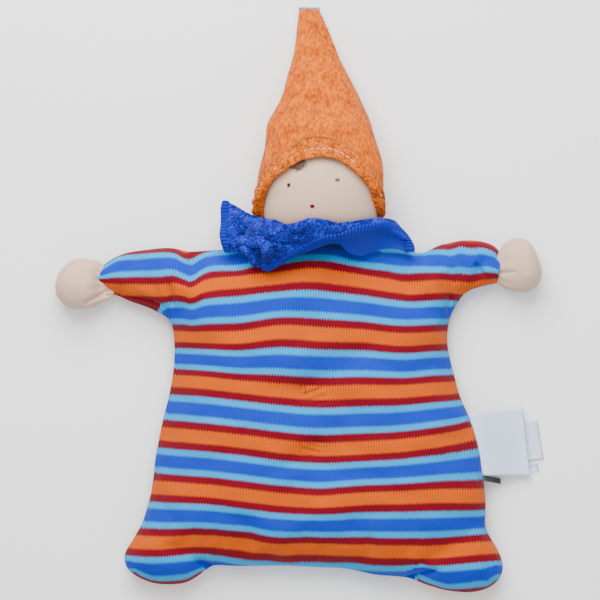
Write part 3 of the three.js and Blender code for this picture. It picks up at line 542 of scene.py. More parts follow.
def body_heights(flat, outline):
    """Heights of the front and the back: both rise from the seam like a cushion's side, (1 - (1 - t)^2)^0.62 with t
    the distance from the seam over the width of the rise. The front is pulled in at the tufts, and the back is flat
    on the ground."""
    x, y = flat[..., 0], flat[..., 1]
    away = edge_distance(flat, outline)
    arm = ease((np.abs(x) - 60) / 26) * ease((y - 30) / 24)
    foot = ease((np.abs(x) - 40) / 24) * ease((-56 - y) / 16)
    crown = 17 - 7.4 * arm - 6.0 * foot
    width = 38 - 22 * arm - 20 * foot
    t = np.clip(away / width, 0, 1)
    front = crown * (1 - (1 - t) ** 2) ** 0.62
    t = np.clip(away / (20 - 4 * arm), 0, 1)
    back = 9.2 * (1 - (1 - t) ** 2) ** 0.62
    front += (1.0 * waves(flat, 32, 3) + 0.42 * waves(flat * (0.7, 1.5), 15, 4)) * front / 17
    front += 0.45 * waves(flat * (0.6, 1.4), 9, 7) * bell(away, 11) * ease(away / 4)
    for place in TUFTS:
        near = np.linalg.norm((flat - place) * (0.8, 1.0), axis=-1)
        front -= 4.6 * bell(near, 6.5)
        back -= 2.4 * bell(near, 6.0)
    # The hem passes over the inner end of each foot, and the sleeve tops have a fold down from the shoulder.
    for a, b, depth, wide in [
        ((-48.5, -80.2), (-57.0, -78.4), 2.6, 1.8), ((49.0, -86.5), (62.0, -81.5), 2.6, 1.8),
        ((-61.0, 84.0), (-59.0, 66.0), 2.2, 5.0), ((85.5, 68.0), (88.5, 76.0), 2.6, 2.4),
        ((79.0, 88.0), (80.0, 76.0), 1.2, 3.0), ((-71.5, 63.5), (-70.0, 54.0), 1.4, 1.8),
        ((2.5, -74.0), (4.5, -80.5), 0.9, 1.4), ((71.0, 60.0), (70.0, 49.0), 1.2, 2.2),
    ]:
        front -= depth * bell(segment_distance(flat, a, b), wide) * ease(front / 4)
    return SEAM_HEIGHT + front, SEAM_HEIGHT - back


def with_tuck(points, column, inward):
    """A sleeve's grid with two more columns past its open end, where the edge turns in towards the wrist."""
    end = points[:, column]
    middle = np.array([end[:, 0].mean(), end[:, 1].mean(), SEAM_HEIGHT])
    rings = []
    for share, deep in ((0.86, 0.6), (0.62, 4.0)):
        rings.append((middle + (end - middle) * (1, share, share) + (inward * deep, 0, 0))[:, None])
    return np.concatenate([rings[1], rings[0], points] if column == 0 else [points, rings[0], rings[1]], axis=1)


def weld(grids, turned):
    """One list of points and faces from several grids, with points at the same place made one."""
    points = np.concatenate([p.reshape(-1, 3) for p, _ in grids])
    cloth = np.concatenate([c.reshape(-1, 2) for _, c in grids])
    starts = np.cumsum([0] + [p.shape[0] * p.shape[1] for p, _ in grids])
    faces = np.concatenate([grid_faces(p.shape[0], p.shape[1], turned=turned) + s for (p, _), s in zip(grids, starts)])
    kinds = np.concatenate([np.full((p.shape[0] - 1) * (p.shape[1] - 1), k) for k, (p, _) in enumerate(grids)])
    _, first, where = np.unique(np.round(points, 3), axis=0, return_index=True, return_inverse=True)
    return points[first], cloth[first], where.ravel()[faces], kinds


def body_grids():
    """The body's front and back as grids: the torso with its feet, and a sleeve on each side, which share the
    shoulder lines."""
    tall, armhole, wide, arm = 44, 13, 64, 13
    side = [smooth_line(LEFT_SIDE, tall), smooth_line(RIGHT_SIDE, tall)]
    shoulder = [np.linspace(a, b, armhole) for a, b in zip(UNDERARMS, SHOULDERS)]
    sides = [np.vstack([line, above[1:]]) for line, above in zip(side, shoulder)]
    torso = patch(*sides, smooth_line(HEM, wide), smooth_line(TOP, wide))
    under = [smooth_line(LEFT_UNDER, arm), smooth_line(RIGHT_UNDER, arm)]
    over = [smooth_line(LEFT_OVER, arm), smooth_line(RIGHT_OVER, arm)]
    left = patch(np.linspace(under[0][0], over[0][0], armhole), shoulder[0], under[0], over[0])
    right = patch(shoulder[1], np.linspace(under[1][-1], over[1][-1], armhole), under[1], over[1])
    edges = HEM, RIGHT_SIDE, RIGHT_UNDER, RIGHT_OVER, TOP, LEFT_OVER, LEFT_UNDER, LEFT_SIDE
    outline = np.vstack([smooth_line(line, 160) for line in edges])
    fronts, backs = [], []
    for kind, flat in enumerate((torso, left, right)):
        seam = np.ones(flat.shape[:2], bool)
        seam[1:-1] = False
        if kind == 0:
            seam[:tall, [0, -1]] = True
        high, low = [np.where(seam, SEAM_HEIGHT, height) for height in body_heights(flat, outline)]
        front, back = np.dstack([flat, high]), np.dstack([flat, low])
        stripes = stripe_place(flat)
        if kind == 1:
            # The left sleeve rolls forward a little: below its first red line its underside shows, red and then orange.
            over = np.maximum(stripes - 6.0, 0)
            rolled = 6.0 - 0.9 * over * (1 - ease((flat[..., 0] + 90) / 8))
            stripes += (over > 0) * (rolled - stripes) * (1 - ease((flat[..., 0] + 79) / 6))
        if kind == 0:
            x, y = flat[..., 0], flat[..., 1]
            # Round the feet's lower edge the last light blue stripe and a thin line of red follow the edge.
            hem = smooth_line(HEM, 400)
            away = edge_distance(flat, hem[hem[:, 1] < np.where(hem[:, 0] < 0, -83.5, -87.5)])
            left_foot = np.interp(away, [0, 1.8, 3.8, 8, 20], [22.4, 19.9, 16.8, 12, -2])
            right_foot = np.interp(away, [0, 1.2, 4.0, 8, 20], [21.6, 19.9, 16.8, 12, -2])
            on_foot = ease((np.abs(x) - 50) / 6) * ease((-78 - y) / 3)
            stripes += on_foot * np.maximum(STRIPE_ROUND * 5 + np.where(x < 0, left_foot, right_foot) - stripes, 0)
            rise = np.linalg.norm(np.diff(back, axis=0)[..., 1:], axis=-1)
            under_stripes = stripes[:1] + np.vstack([np.zeros((1, flat.shape[1])), np.cumsum(rise, axis=0)])
            armhole_rows = under_stripes[tall - 1 :, 0], under_stripes[tall - 1 :, -1]
        else:
            # Past this column, towards the tied wrist, the stripes run straight out.
            tied = 4 if kind == 1 else arm - 5
            keep = np.maximum(np.arange(arm), tied) if kind == 1 else np.minimum(np.arange(arm), tied)
            stripes = stripes[:, keep]
            under_stripes = np.repeat(armhole_rows[kind - 1][:, None], arm, axis=1)
        if kind:
            column, inward = (0, 1) if kind == 1 else (-1, -1)
            front, back = with_tuck(front, column, inward), with_tuck(back, column, inward)
            width = [(2, 0), (0, 2)][kind - 1]
            stripes = np.pad(stripes, ((0, 0), width), mode="edge")
            under_stripes = np.pad(under_stripes, ((0, 0), width), mode="edge")
        fronts.append((front, np.dstack([front[..., 0], stripes])))
        backs.append((back, np.dstack([back[..., 0], under_stripes])))
    return fronts, backs


def make_body(material):
    """The striped body: two panels held at their seam, blown up a little like wadding does, then cut into torso,
    sleeves and feet."""
    fronts, backs = body_grids()
    front, back = weld(fronts, False), weld(backs, True)
    points = np.vstack([front[0], back[0]])
    cloth = np.vstack([front[1], back[1]])
    faces = np.vstack([front[2], back[2] + len(front[0])])
    kinds = np.r_[front[3], back[3]]
    middle = points[faces].mean(axis=1)
    for number, (place, outwards) in enumerate(FEET.values(), start=3):
        beyond = (middle[:, :2] - place) @ np.array(outwards)
        near = np.sign(place[0]) * middle[:, 0] > 30
        kinds[(kinds == 0) & (beyond > -3) & near] = number
    whole = surface("body", points, faces, material, cloth)
    for _ in range(4):
        whole.data.materials.append(material)
    whole.data.polygons.foreach_set("material_index", kinds.astype(np.int32))
    edge = np.abs(points[:, 2] - SEAM_HEIGHT) < 0.02
    ends = (points[:, 0] < -103) | (points[:, 0] > 95.5)
    held = np.where(edge | ends, 1.0, 0.0)
    for place in TUFTS:
        held = np.maximum(held, np.linalg.norm(points[:, :2] - place, axis=1) < 2.4)
    settle(whole, held, sizes().pressure, 0.02, 20, sizes().swell / MM)
    points = points_of(whole)
    points[:, 2] = np.maximum(points[:, 2], 0.25)
    move_points(whole, points)
    subdivide(whole, 2)
    move_points(whole, gathered(points_of(whole)))
    names = ["torso_cover", "left_sleeve_cover", "right_sleeve_cover", "left_foot_lobe", "right_foot_lobe"]
    return split_body(whole, names, material)


# Ridges (up) and grooves (down) of the cloth, first where it is gathered at the tufts: two ends, height and half width.
PLEATS = [
    ((-3.4, 9.6), (4.3, 12.3), 0.75, 0.8), ((-3.0, 8.2), (5.5, 11.0), -0.6, 0.55),
    ((-2.6, 6.7), (7.2, 9.7), 0.8, 0.8), ((0.2, 5.2), (7.3, 7.1), -1.0, 0.6), ((2.4, 3.2), (8.2, 4.4), -0.9, 0.6),
    ((3.1, 1.6), (8.9, 3.2), 0.5, 0.8), ((-4.6, 12.0), (-2.8, 5.2), -0.9, 0.7),
    # where the hem passes over the inner ends of the feet
    ((-57.5, -76.4), (-49.5, -79.6), -2.6, 1.1), ((-59.0, -73.8), (-46.0, -76.8), 0.7, 1.6),
    ((49.6, -85.2), (63.5, -81.6), -2.6, 1.1), ((46.0, -82.2), (64.5, -78.6), 0.7, 1.6),
    # sleeves, underarms and hem
    ((-71.6, 64.0), (-70.2, 54.0), -1.4, 1.0), ((84.6, 74.4), (89.0, 68.8), -1.9, 0.9),
    ((-61.8, 84.0), (-60.4, 73.0), -1.3, 1.5), ((71.4, 58.0), (70.4, 50.5), -1.2, 1.0),
    ((2.5, -74.0), (4.5, -80.5), -0.8, 0.9), ((-78.0, 66.0), (-74.0, 56.0), 0.6, 2.2),
    ((-97.5, 59.6), (-80.5, 55.9), -1.5, 0.8), ((-80.5, 55.9), (-74.5, 52.8), -1.5, 0.8),
    ((-3.5, -17.9), (5.3, -20.1), 0.7, 0.7), ((-4.1, -18.9), (3.7, -21.2), -0.8, 0.5),
    ((-4.8, -20.0), (2.4, -22.0), 0.6, 0.7), ((1.0, -15.1), (6.8, -16.4), -0.9, 0.6),
    ((-1.0, -16.2), (5.6, -17.4), 0.5, 0.7), ((-4.3, -16.4), (-3.9, -22.2), -0.7, 0.7),
]


def gathered(points):
    """The front's points moved up and down along the small pleats, each a rounded ridge or groove."""
    up = points[:, 2] > SEAM_HEIGHT
    for a, b, rise, wide in PLEATS:
        points[:, 2] += up * rise * bell(segment_distance(points[:, :2], a, b), wide)
    return points


def split_body(whole, names, material):
    """Cuts a mesh into pieces by its faces' material number. Each piece keeps its share of the points and the cloth
    places."""
    mesh = whole.data
    count = len(mesh.polygons)
    kinds = np.zeros(count, np.int32)
    mesh.polygons.foreach_get("material_index", kinds)
    corners = np.zeros(count * 4, np.int32)
    mesh.loops.foreach_get("vertex_index", corners)
    corners = corners.reshape(-1, 4)
    points = points_of(whole)
    cloth = np.zeros(len(points) * 3, np.float32)
    mesh.attributes["cloth"].data.foreach_get("vector", cloth)
    cloth = cloth.reshape(-1, 3)
    made = {}
    for number, name in enumerate(names):
        faces = corners[kinds == number]
        used, where = np.unique(faces, return_inverse=True)
        made[name] = surface(name, points[used], where.reshape(-1, 4), material, cloth[used])
    bpy.data.objects.remove(whole)
    return made


# ---------- threads, strands and pile ----------


def tubes(lines, radius, sides=6, points=12):
    """Round strands along many smooth lines. Each ring stands across its line, and the ends taper.

    lines is a list of point lists in millimetres; the result is one list of points and one of faces."""
    paths = np.stack([smooth_line(line, points) for line in lines])
    radii = np.broadcast_to(np.asarray(radius, float).reshape(-1, 1), (len(lines), points)).copy()
    radii[:, [0, -1]] *= 0.35
    ahead = unit(np.gradient(paths, axis=1))
    side = unit(np.cross(ahead, np.where(np.abs(ahead[..., 2:]) > 0.9, (1.0, 0, 0), (0, 0, 1.0))))
    other = np.cross(side, ahead)
    turn = np.linspace(0, 2 * np.pi, sides, endpoint=False)
    rings = paths[..., None, :] + radii[..., None, None] * (
        side[..., None, :] * np.cos(turn)[:, None] + other[..., None, :] * np.sin(turn)[:, None]
    )
    starts = np.arange(len(lines)) * points * sides
    faces = [(one[None] + starts[:, None, None]).reshape(-1, one.shape[1]) for one in tube_faces(points, sides)]
    return rings.reshape(-1, 3), faces


def strands(name, lines, radius, material, sides=6, points=12):
    """One object of many strands. The cloth place runs round and along each strand."""
    rings, faces = tubes(lines, radius, sides, points)
    along = np.tile(np.repeat(np.arange(points), sides), len(lines))
    cloth = np.stack([np.tile(np.arange(sides), len(lines) * points), along], axis=1).astype(float)
    return surface(name, rings, faces, material, cloth)


def roughen(piece, kind, size, depth, middle=0.5):
    """Pushes a fine mesh in and out by a procedural texture with lumps of that size, in millimetres, and keeps the
    result."""
    texture = bpy.data.textures.new(piece.name + "_pile", kind)
    texture.noise_scale = size * MM
    if kind == "VORONOI":
        texture.distance_metric = "DISTANCE"
        texture.weight_1, texture.weight_2 = -1.0, 0.0
        texture.noise_intensity = 1.0
    modifier = piece.modifiers.new("pile", "DISPLACE")
    modifier.texture = texture
    modifier.texture_coords = "LOCAL"
    modifier.strength = depth * MM
    modifier.mid_level = middle
    return apply_modifiers(piece)


def pile(name, middle, between, tips, size, streak=1.0, depth=0.0004):
    """Cotton pile cloth, sheared or looped: a ramp paints a highlight on the tip of each lump of pile and painted shade
    between the lumps, over a tone that varies at random.
    """
    material, tree, shader = new_material(name)
    where = node(tree, "TexCoord", out="Object")
    scale = 1000 / size
    drawn = node(tree, "Mapping", {"Vector": where, "Scale": (scale, scale * streak, scale)})
    lumps = node(tree, "TexVoronoi", {"Vector": drawn, "Scale": 1.0}, "Distance")
    broad = node(tree, "TexNoise", {"Vector": where, "Scale": 160.0, "Detail": 3.0}, "Fac")
    fine = node(tree, "TexNoise", {"Vector": drawn, "Scale": 1.3, "Detail": 4.0}, "Fac")
    mixed = node(tree, "Math", (lumps, 0.5, -0.35), operation="MULTIPLY_ADD")
    mixed = node(tree, "Math", (fine, 0.55, mixed), operation="MULTIPLY_ADD")
    mixed = node(tree, "Math", (broad, 0.7, mixed), operation="MULTIPLY_ADD")
    # The ramp's colours: tips is a painted highlight, middle is the pile's own colour, and between is painted shade in
    # the depths between the lumps.
    colour = node(tree, "ValToRGB", (mixed,), stops=[(0.25, tips), (0.5, middle), (0.8, between)])
    tree.links.new(colour, shader.inputs["Base Color"])
    bump = node(tree, "Bump", {"Height": mixed, "Strength": 0.8, "Distance": depth}, invert=True)
    tree.links.new(bump, shader.inputs["Normal"])
    fabric(shader, 0.95, 0.06)
    return material


def skin_tricot(name):
    """Fine cotton tricot in a skin shade: thin ribs 0.9 mm apart run down it, with painted shade in the grooves between
    them, and otherwise the colour hardly varies.
    """
    material, tree, shader = new_material(name)
    where, across, along = cloth_place(tree)
    rib = node(tree, "Math", (across, SKIN_RIB / 2), operation="PINGPONG")
    rib = node(tree, "Math", (rib, SKIN_RIB / 2), operation="DIVIDE")
    fuzz = node(tree, "TexNoise", {"Vector": where, "Scale": 1.1, "Detail": 3.0}, "Fac")
    # Painted shade: the colour darkens in the grooves between the ribs.
    ribbed = shade(tree, colours().skin, 0.76, 1.07, rib)
    tree.links.new(shade(tree, ribbed, 0.86, 1.14, fuzz), shader.inputs["Base Color"])
    course = node(tree, "Math", (along, 0.4), operation="PINGPONG")
    height = node(tree, "Math", (course, fuzz), operation="ADD")
    height = node(tree, "Math", (rib, 0.5, height), operation="MULTIPLY_ADD")
    bump = node(tree, "Bump", {"Height": height, "Strength": 0.35, "Distance": 0.00018})
    tree.links.new(bump, shader.inputs["Normal"])
    fabric(shader, 0.9, 0.1)
    return material


def ribbed_thread(name, colour):
    """Thread laid side by side over an edge: each turn of it is a rib 1.5 mm apart, with painted shade in the grooves
    between, and fine fuzz."""
    material, tree, shader = new_material(name)
    where, along, _ = cloth_place(tree)
    rib = node(tree, "Math", (along, THREAD_RIB / 2), operation="PINGPONG")
    rib = node(tree, "Math", (rib, THREAD_RIB / 2), operation="DIVIDE")
    fuzz = node(tree, "TexNoise", {"Vector": where, "Scale": 1.5, "Detail": 3.0}, "Fac")
    # Painted shade: the colour darkens strongly in the grooves between the turns.
    ribbed = shade(tree, colour, 0.4, 1.25, rib)
    tree.links.new(shade(tree, ribbed, 0.6, 1.4, fuzz), shader.inputs["Base Color"])
    bump = node(tree, "Bump", {"Height": fuzz, "Strength": 0.6, "Distance": 0.0003})
    tree.links.new(bump, shader.inputs["Normal"])
    fabric(shader, 0.9, 0.06)
    return material


def thread(name, colour, dark=0.7):
    """Spun thread: the twist shows as fine slanting lines, with painted shade between the plies; dark sets how dark
    that shade is.
    """
    material, tree, shader = new_material(name)
    _, around, along = cloth_place(tree)
    twist = node(tree, "Math", (around, along), operation="ADD")
    twist = node(tree, "Math", (twist, 1.0), operation="PINGPONG")
    # Painted shade between the plies of the twist.
    tree.links.new(shade(tree, colour, dark, 1.1, twist), shader.inputs["Base Color"])
    fabric(shader, 0.75, 0.1)
    return material


# ---------- head and cap ----------

HEAD_MIDDLE = np.array([5.4, 112.4, 24.6])
HEAD_HALF = np.array([29.2, 26.0, 21.0])
# Height, middle across, half width, lowest and highest point of the cap.
CAP_ROWS = [
    (93, 4.8, 26.8, 1.6, 39.0), (97, 4.8, 28.6, 1.6, 42.0), (104, 4.9, 30.9, 1.6, 46.0), (112, 5.0, 32.1, 1.4, 47.6),
    (121, 5.2, 31.6, 0.8, 46.6), (130, 5.6, 29.8, 0.5, 43.6), (138, 5.4, 27.9, 0.5, 40.2),
    (146, 5.1, 26.1, 0.5, 37.0), (154, 5.4, 22.6, 0.5, 32.6), (162, 5.1, 18.9, 0.5, 28.6),
    (171, 3.9, 15.6, 0.5, 23.4), (179, 3.3, 12.5, 0.5, 18.4), (187, 2.3, 10.0, 0.5, 14.0), (195, 1.2, 7.9, 0.5, 10.6),
    (203, -0.2, 5.5, 0.6, 7.4), (206, -0.4, 4.9, 1.0, 6.0),
]
CAP_TIP = 205.6


def on_head(x, y, off=0.0):
    """The point of the head's front over a place in the picture, lifted off it."""
    across = (x - HEAD_MIDDLE[0]) / HEAD_HALF[0]
    along = (y - HEAD_MIDDLE[1]) / HEAD_HALF[1]
    z = HEAD_MIDDLE[2] + HEAD_HALF[2] * np.sqrt(np.clip(1 - across**2 - along**2, 0.02, 1))
    return np.stack([x + 0 * z, y + 0 * z, z + off], axis=-1)


def make_head(material):
    """The head: an egg of wool in a tricot tube, its half widths 29.2, 26 and 21 mm, gathered in small pleats at the
    neck."""
    rows, columns = 90, 180
    t = np.linspace(0.03, np.pi - 0.03, rows)[:, None]
    phi = np.linspace(-np.pi / 2, 1.5 * np.pi, columns, endpoint=False)[None]
    pleats = 0.42 * np.cos(23 * phi + 2 * np.sin(3 * phi)) * np.exp(-((t / 0.62) ** 4))
    grown = 1 + pleats / 26
    height = -np.cos(t)
    squarer = 2 + 2.2 * ease(-height * 3)
    wide = (1 - np.abs(height) ** squarer) ** (1 / squarer)
    points = np.stack(
        [
            HEAD_MIDDLE[0] + HEAD_HALF[0] * wide * np.cos(phi) * grown,
            HEAD_MIDDLE[1] + HEAD_HALF[1] * height * np.ones_like(phi),
            HEAD_MIDDLE[2] + HEAD_HALF[2] * np.sin(t) * np.sin(phi) * grown,
        ],
        axis=-1,
    )
    cloth = np.dstack([28.0 * phi * np.ones_like(t), 26.0 * t * np.ones_like(phi)])
    return surface("head_skin", points.reshape(-1, 3), tube_faces(rows, columns), material, cloth.reshape(-1, 2))


def cap_at(height, phi, off=0.0):
    """The cap's outside at a height and an angle round it (a quarter turn is the front), pushed out by off: an
    ellipse at each height."""
    middle, half, low, high = np.moveaxis(smooth_rows(CAP_ROWS, height), -1, 0)
    x = middle + (half + off) * np.cos(phi)
    z = (low + high) / 2 + ((high - low) / 2 + off) * np.sin(phi)
    return np.stack([x, height + 0 * x, z], axis=-1)


def brim(phi):
    """The height of the cap's open edge: low at the back and sides, and arched over the face."""
    up = np.clip(np.sin(phi), 0, 1)
    bent = np.where(np.cos(phi) < 0, 1.15, 1.45)
    wobble = 0.35 * np.sin(5 * phi + 0.4) + 0.25 * np.sin(11 * phi)
    return 96.5 + 32.4 * up**bent + wobble * up


def make_cap(material):
    """The cap: ellipses whose middle, width and height follow a smooth line from the brim to the cut-off tip, with
    soft folds."""
    rows, columns = 170, 300
    phi = np.linspace(0, 2 * np.pi, columns, endpoint=False)[None]
    t = np.linspace(0, 1, rows)[:, None]
    height = (brim(phi) + 2.0) * (1 - t) + CAP_TIP * t
    points = cap_at(height, phi)
    push = cap_at(height, phi, 1.0) - points
    dents = 0.7 * waves(points * (1.0, 0.45, 1.0), 22, 11) + 0.25 * waves(points * (1.0, 0.3, 1.0), 7, 12)
    points = points + push * (dents * np.minimum(1, 4 * t) * np.minimum(1, 4 * (1 - t)))[..., None]
    inner = cap_at(height[:6], phi, -1.4)[::-1]
    end = cap_at(height[-1:], phi, -1.6) - (0, 1.2, 0)
    points = np.concatenate([inner, points, end]).reshape(-1, 3)
    points[:, 2] = np.maximum(points[:, 2], 0.3)
    closed = np.arange((rows + 6) * columns, (rows + 7) * columns)[None]
    piece = surface("cap_cloth", points, [grid_faces(rows + 7, columns, looped=True), closed], material)
    return roughen(piece, "CLOUDS", 1.6, 0.55)


def hem_width(phi):
    """The width of the cap's hem round the cap, in millimetres."""
    return sizes().brim_width / MM + 0.5 * np.sin(3 * phi + 1) + 0.3 * np.sin(8 * phi)


def hem_share(phi):
    """How much of its width the hem rises up the cap: all of it over the face, less at the sides and the back."""
    return 0.72 + 0.28 * np.clip(np.sin(phi), 0, 1)


def make_brim(material):
    """The turned-up hem of the cap, 10 mm wide: its cross-section is a flat loop, thick and round at the face and
    thin at its upper edge."""
    rows, columns = 56, 520
    phi = np.linspace(0, 2 * np.pi, columns, endpoint=False)[None]
    q = np.linspace(0, 2 * np.pi, rows, endpoint=False)[:, None]
    across = 0.5 - 0.5 * np.cos(q)
    inner, outer = 1.25 + 3.2 * np.cos(phi) ** 4, 1.25 + 0.5 * np.cos(phi) ** 4
    side = np.sign(np.sin(q)) * np.abs(np.sin(q)) ** 0.6
    thick = np.where(side < 0, inner, outer) * (1 - 0.2 * across) * side
    height = brim(phi) - 0.3 + across * hem_width(phi) * hem_share(phi)
    points = cap_at(height, phi, 0.0)
    push = cap_at(height, phi, 1.0) - points
    crumple = (1.3 * waves(points, 7, 21) + 0.2) * (0.2 + np.clip(-np.sin(phi) + 0.7, 0, 1))
    points = points + push * (1.0 + thick + crumple * np.ones_like(q))[..., None]
    points = points.transpose(1, 0, 2).reshape(-1, 3)
    points[:, 2] = np.maximum(points[:, 2], 0.3)
    ring, start = np.arange(rows), (columns - 1) * rows
    last = np.stack([start + ring, start + (ring + 1) % rows, (ring + 1) % rows, ring], -1)
    piece = surface("cap_brim", points, np.vstack([grid_faces(columns, rows, looped=True), last]), material)
    return roughen(piece, "VORONOI", 1.5, 0.9, 0.3)


def brim_edge(material):
    """The bound upper edge of the hem: a thin thread that winds round it."""
    phi = np.linspace(0, 2 * np.pi, 420)
    height = brim(phi) - 0.3 + hem_width(phi) * hem_share(phi) + 0.25 * np.sin(150 * phi)
    off = 1.5 + 0.3 * np.cos(150 * phi)
    line = np.array([cap_at(h, a, o) for h, a, o in zip(height, phi, off)])
    line[:, 2] = np.maximum(line[:, 2], 0.7)
    return strands("brim_edge_thread", [line], 0.55, material, points=900)


def brim_stitches(material):
    """Running stitches 1.8 mm long along the middle of the hem, which dip into the terry between them."""
    lines = []
    for start in (58, 63.5, 69, 74.5, 80, 85.5, 91, 96.5, 102, 116, 122, 131, 137, 146, 153, 24):
        angles = np.radians(start + np.array([-0.4, 0.9, 3.3, 4.5]))
        rise = np.array([-0.5, 0.25, 0.25, -0.5])
        at = brim(angles) + 3.9 * hem_share(angles)
        lines.append(np.array([cap_at(h, a, 2.25 + r) for h, a, r in zip(at, angles, rise)]))
    return strands("brim_stitches", lines, sizes().stitch_radius / MM, material)


def cap_tip_stitches(material):
    """Overlock stitches round the cut-off tip: short loops side by side over the edge."""
    lines = []
    loop = [(204.4, 0.25, 0.1), (205.3, 0.1, 0.35), (206.0, 0, 0.1), (205.8, -0.05, -1.2)]
    for angle in np.linspace(0, 2 * np.pi, 26, endpoint=False):
        line = [cap_at(np.array(height), np.array(angle + turn), off) for height, turn, off in loop]
        lines.append(np.maximum(np.array(line), (-99, 0, 0.5)))
    return strands("cap_tip_stitches", lines, 0.2, material, points=8)


def face_stitches(dark, grey, red):
    """The face: each eye and the mouth is a few turns of thread on the skin."""
    def knot(name, x, y, wide, tall, turns, radius, material):
        lines = []
        for k in range(turns):
            shift = (k - (turns - 1) / 2) * tall / max(turns, 2)
            xs = np.array([-0.5, -0.25, 0.25, 0.5]) * wide * (1 - 0.12 * abs(k - (turns - 1) / 2))
            rise = np.array([-0.2, 0.22, 0.25, -0.2])
            lines.append(on_head(x + xs, y + shift + 0 * xs + 0.08 * np.sin(k * 2 + xs), rise))
        return strands(name, lines, radius, material, points=10)

    return [
        knot("left_eye_stitch", -10.8, 114.3, 1.7, 1.7, 5, 0.26, dark),
        knot("right_eye_stitch", 13.8, 117.0, 2.6, 1.3, 4, 0.26, grey),
        knot("mouth_stitch", 1.1, 103.6, 2.4, 1.5, 4, 0.28, red),
    ]


def hair_lock(material):
    """A tuft of curled mohair that peeks out under the hem: each strand is a loose corkscrew."""
    rng = np.random.default_rng(8)
    lines = []
    for _ in range(sizes().hair_strands):
        x, y = -7.2 + rng.normal(0, 1.8), 127.4 - abs(rng.normal(0, 0.6))
        t = np.linspace(0, 1, 9)
        long, turns, wide = rng.uniform(2.2, 5.4), rng.uniform(1.2, 2.6), rng.uniform(0.5, 1.1)
        lean = rng.normal(0, 1.3)
        px = x + lean * t + wide * np.cos(2 * np.pi * turns * t + rng.uniform(0, 6))
        py = y - long * t + 0.6 * wide * np.sin(2 * np.pi * turns * t)
        lift_off = 0.5 + rng.uniform(0.2, 2.0) * np.sin(np.pi * t) + 0.3 * wide * np.sin(2 * np.pi * turns * t)
        lines.append(on_head(px, py, lift_off))
    return strands("hair_lock", lines, sizes().hair_radius / MM, material, sides=5, points=22)


# ---------- hands ----------

# Place across the picture, half width, half thickness and middle height of each hand.
LEFT_HAND = [
    (-99.6, 2.4, 1.8, 63.4), (-102.2, 4.6, 2.4, 61.6), (-105.3, 9.0, 3.0, 64.4), (-107.0, 10.2, 3.8, 64.6),
    (-108.6, 11.2, 5.4, 64.8), (-110.0, 11.9, 7.2, 64.8), (-112.0, 12.4, 9.2, 64.7), (-115.3, 13.0, 10.8, 64.4),
    (-121.0, 12.5, 10.7, 64.2), (-125.8, 9.6, 8.8, 63.6), (-129.2, 5.2, 5.0, 62.8), (-130.3, 0.3, 0.3, 62.5),
]
RIGHT_HAND = [
    (90.0, 3.4, 3.4, 72.4), (94.0, 4.4, 3.6, 72.7), (96.2, 7.0, 4.2, 73.1), (98.4, 10.2, 6.2, 73.4),
    (102.0, 12.7, 9.2, 73.8), (106.8, 13.8, 11.0, 73.9), (111.4, 13.0, 10.7, 73.4), (115.0, 9.7, 8.8, 72.0),
    (117.5, 5.0, 4.8, 70.6), (118.6, 0.3, 0.3, 70.2),
]


# Lines along which the hands' cloth folds in: two ends, depth and width.
LEFT_CREASES = [((-114.5, 54.6), (-104.0, 60.8), 1.6, 1.0), ((-103.0, 66.0), (-108.5, 66.4), 0.8, 0.8)]
RIGHT_CREASES = [((97.0, 70.0), (104.5, 70.6), 0.9, 0.8), ((96.5, 76.0), (100.5, 77.4), 0.6, 0.7)]


def make_hand(name, rows, creases, material, seed):
    """A hand: a ball of wool in tricot, tied at the wrist. Its rings are ellipses along a line out of the sleeve, and
    pleats run from the tie and die out over the ball. creases are lines along which the cloth folds in: two ends,
    depth and width."""
    tall, round_count = 90, 140
    x, half, thick, middle = smooth_line(rows, tall).T
    phi = np.linspace(-np.pi / 2, 1.5 * np.pi, round_count, endpoint=False)[None]
    reach = np.linspace(0, 1, tall)[:, None]
    pleats = 0.4 * np.cos(15 * phi + 1.5 * np.sin(2 * phi + seed)) * np.exp(-((reach / 0.36) ** 3))
    across = (half[:, None] + pleats) * np.cos(phi)
    up = (thick[:, None] + pleats) * np.sin(phi)
    points = np.stack([x[:, None] + 0 * phi, middle[:, None] + across, SEAM_HEIGHT + 1.0 + up], axis=-1)
    push = np.stack([0 * across, across / half[:, None], up / thick[:, None]], axis=-1)
    points += push * 0.3 * waves(points, 11, seed)[..., None] * np.minimum(1, half / 4)[:, None, None]
    for a, b, depth, wide in creases:
        near = segment_distance(points[..., :2], a, b)
        points[..., 2] -= depth * bell(near, wide) * (np.sin(phi) > 0)
    points[..., 2] = np.maximum(points[..., 2], 0.2)
    along = np.abs(x - x[0])[:, None] + 0 * phi
    cloth = np.dstack([11.0 * phi + 0 * along, along])
    return surface(name, points.reshape(-1, 3), tube_faces(tall, round_count), material, cloth.reshape(-1, 2))


# ---------- neckerchief ----------

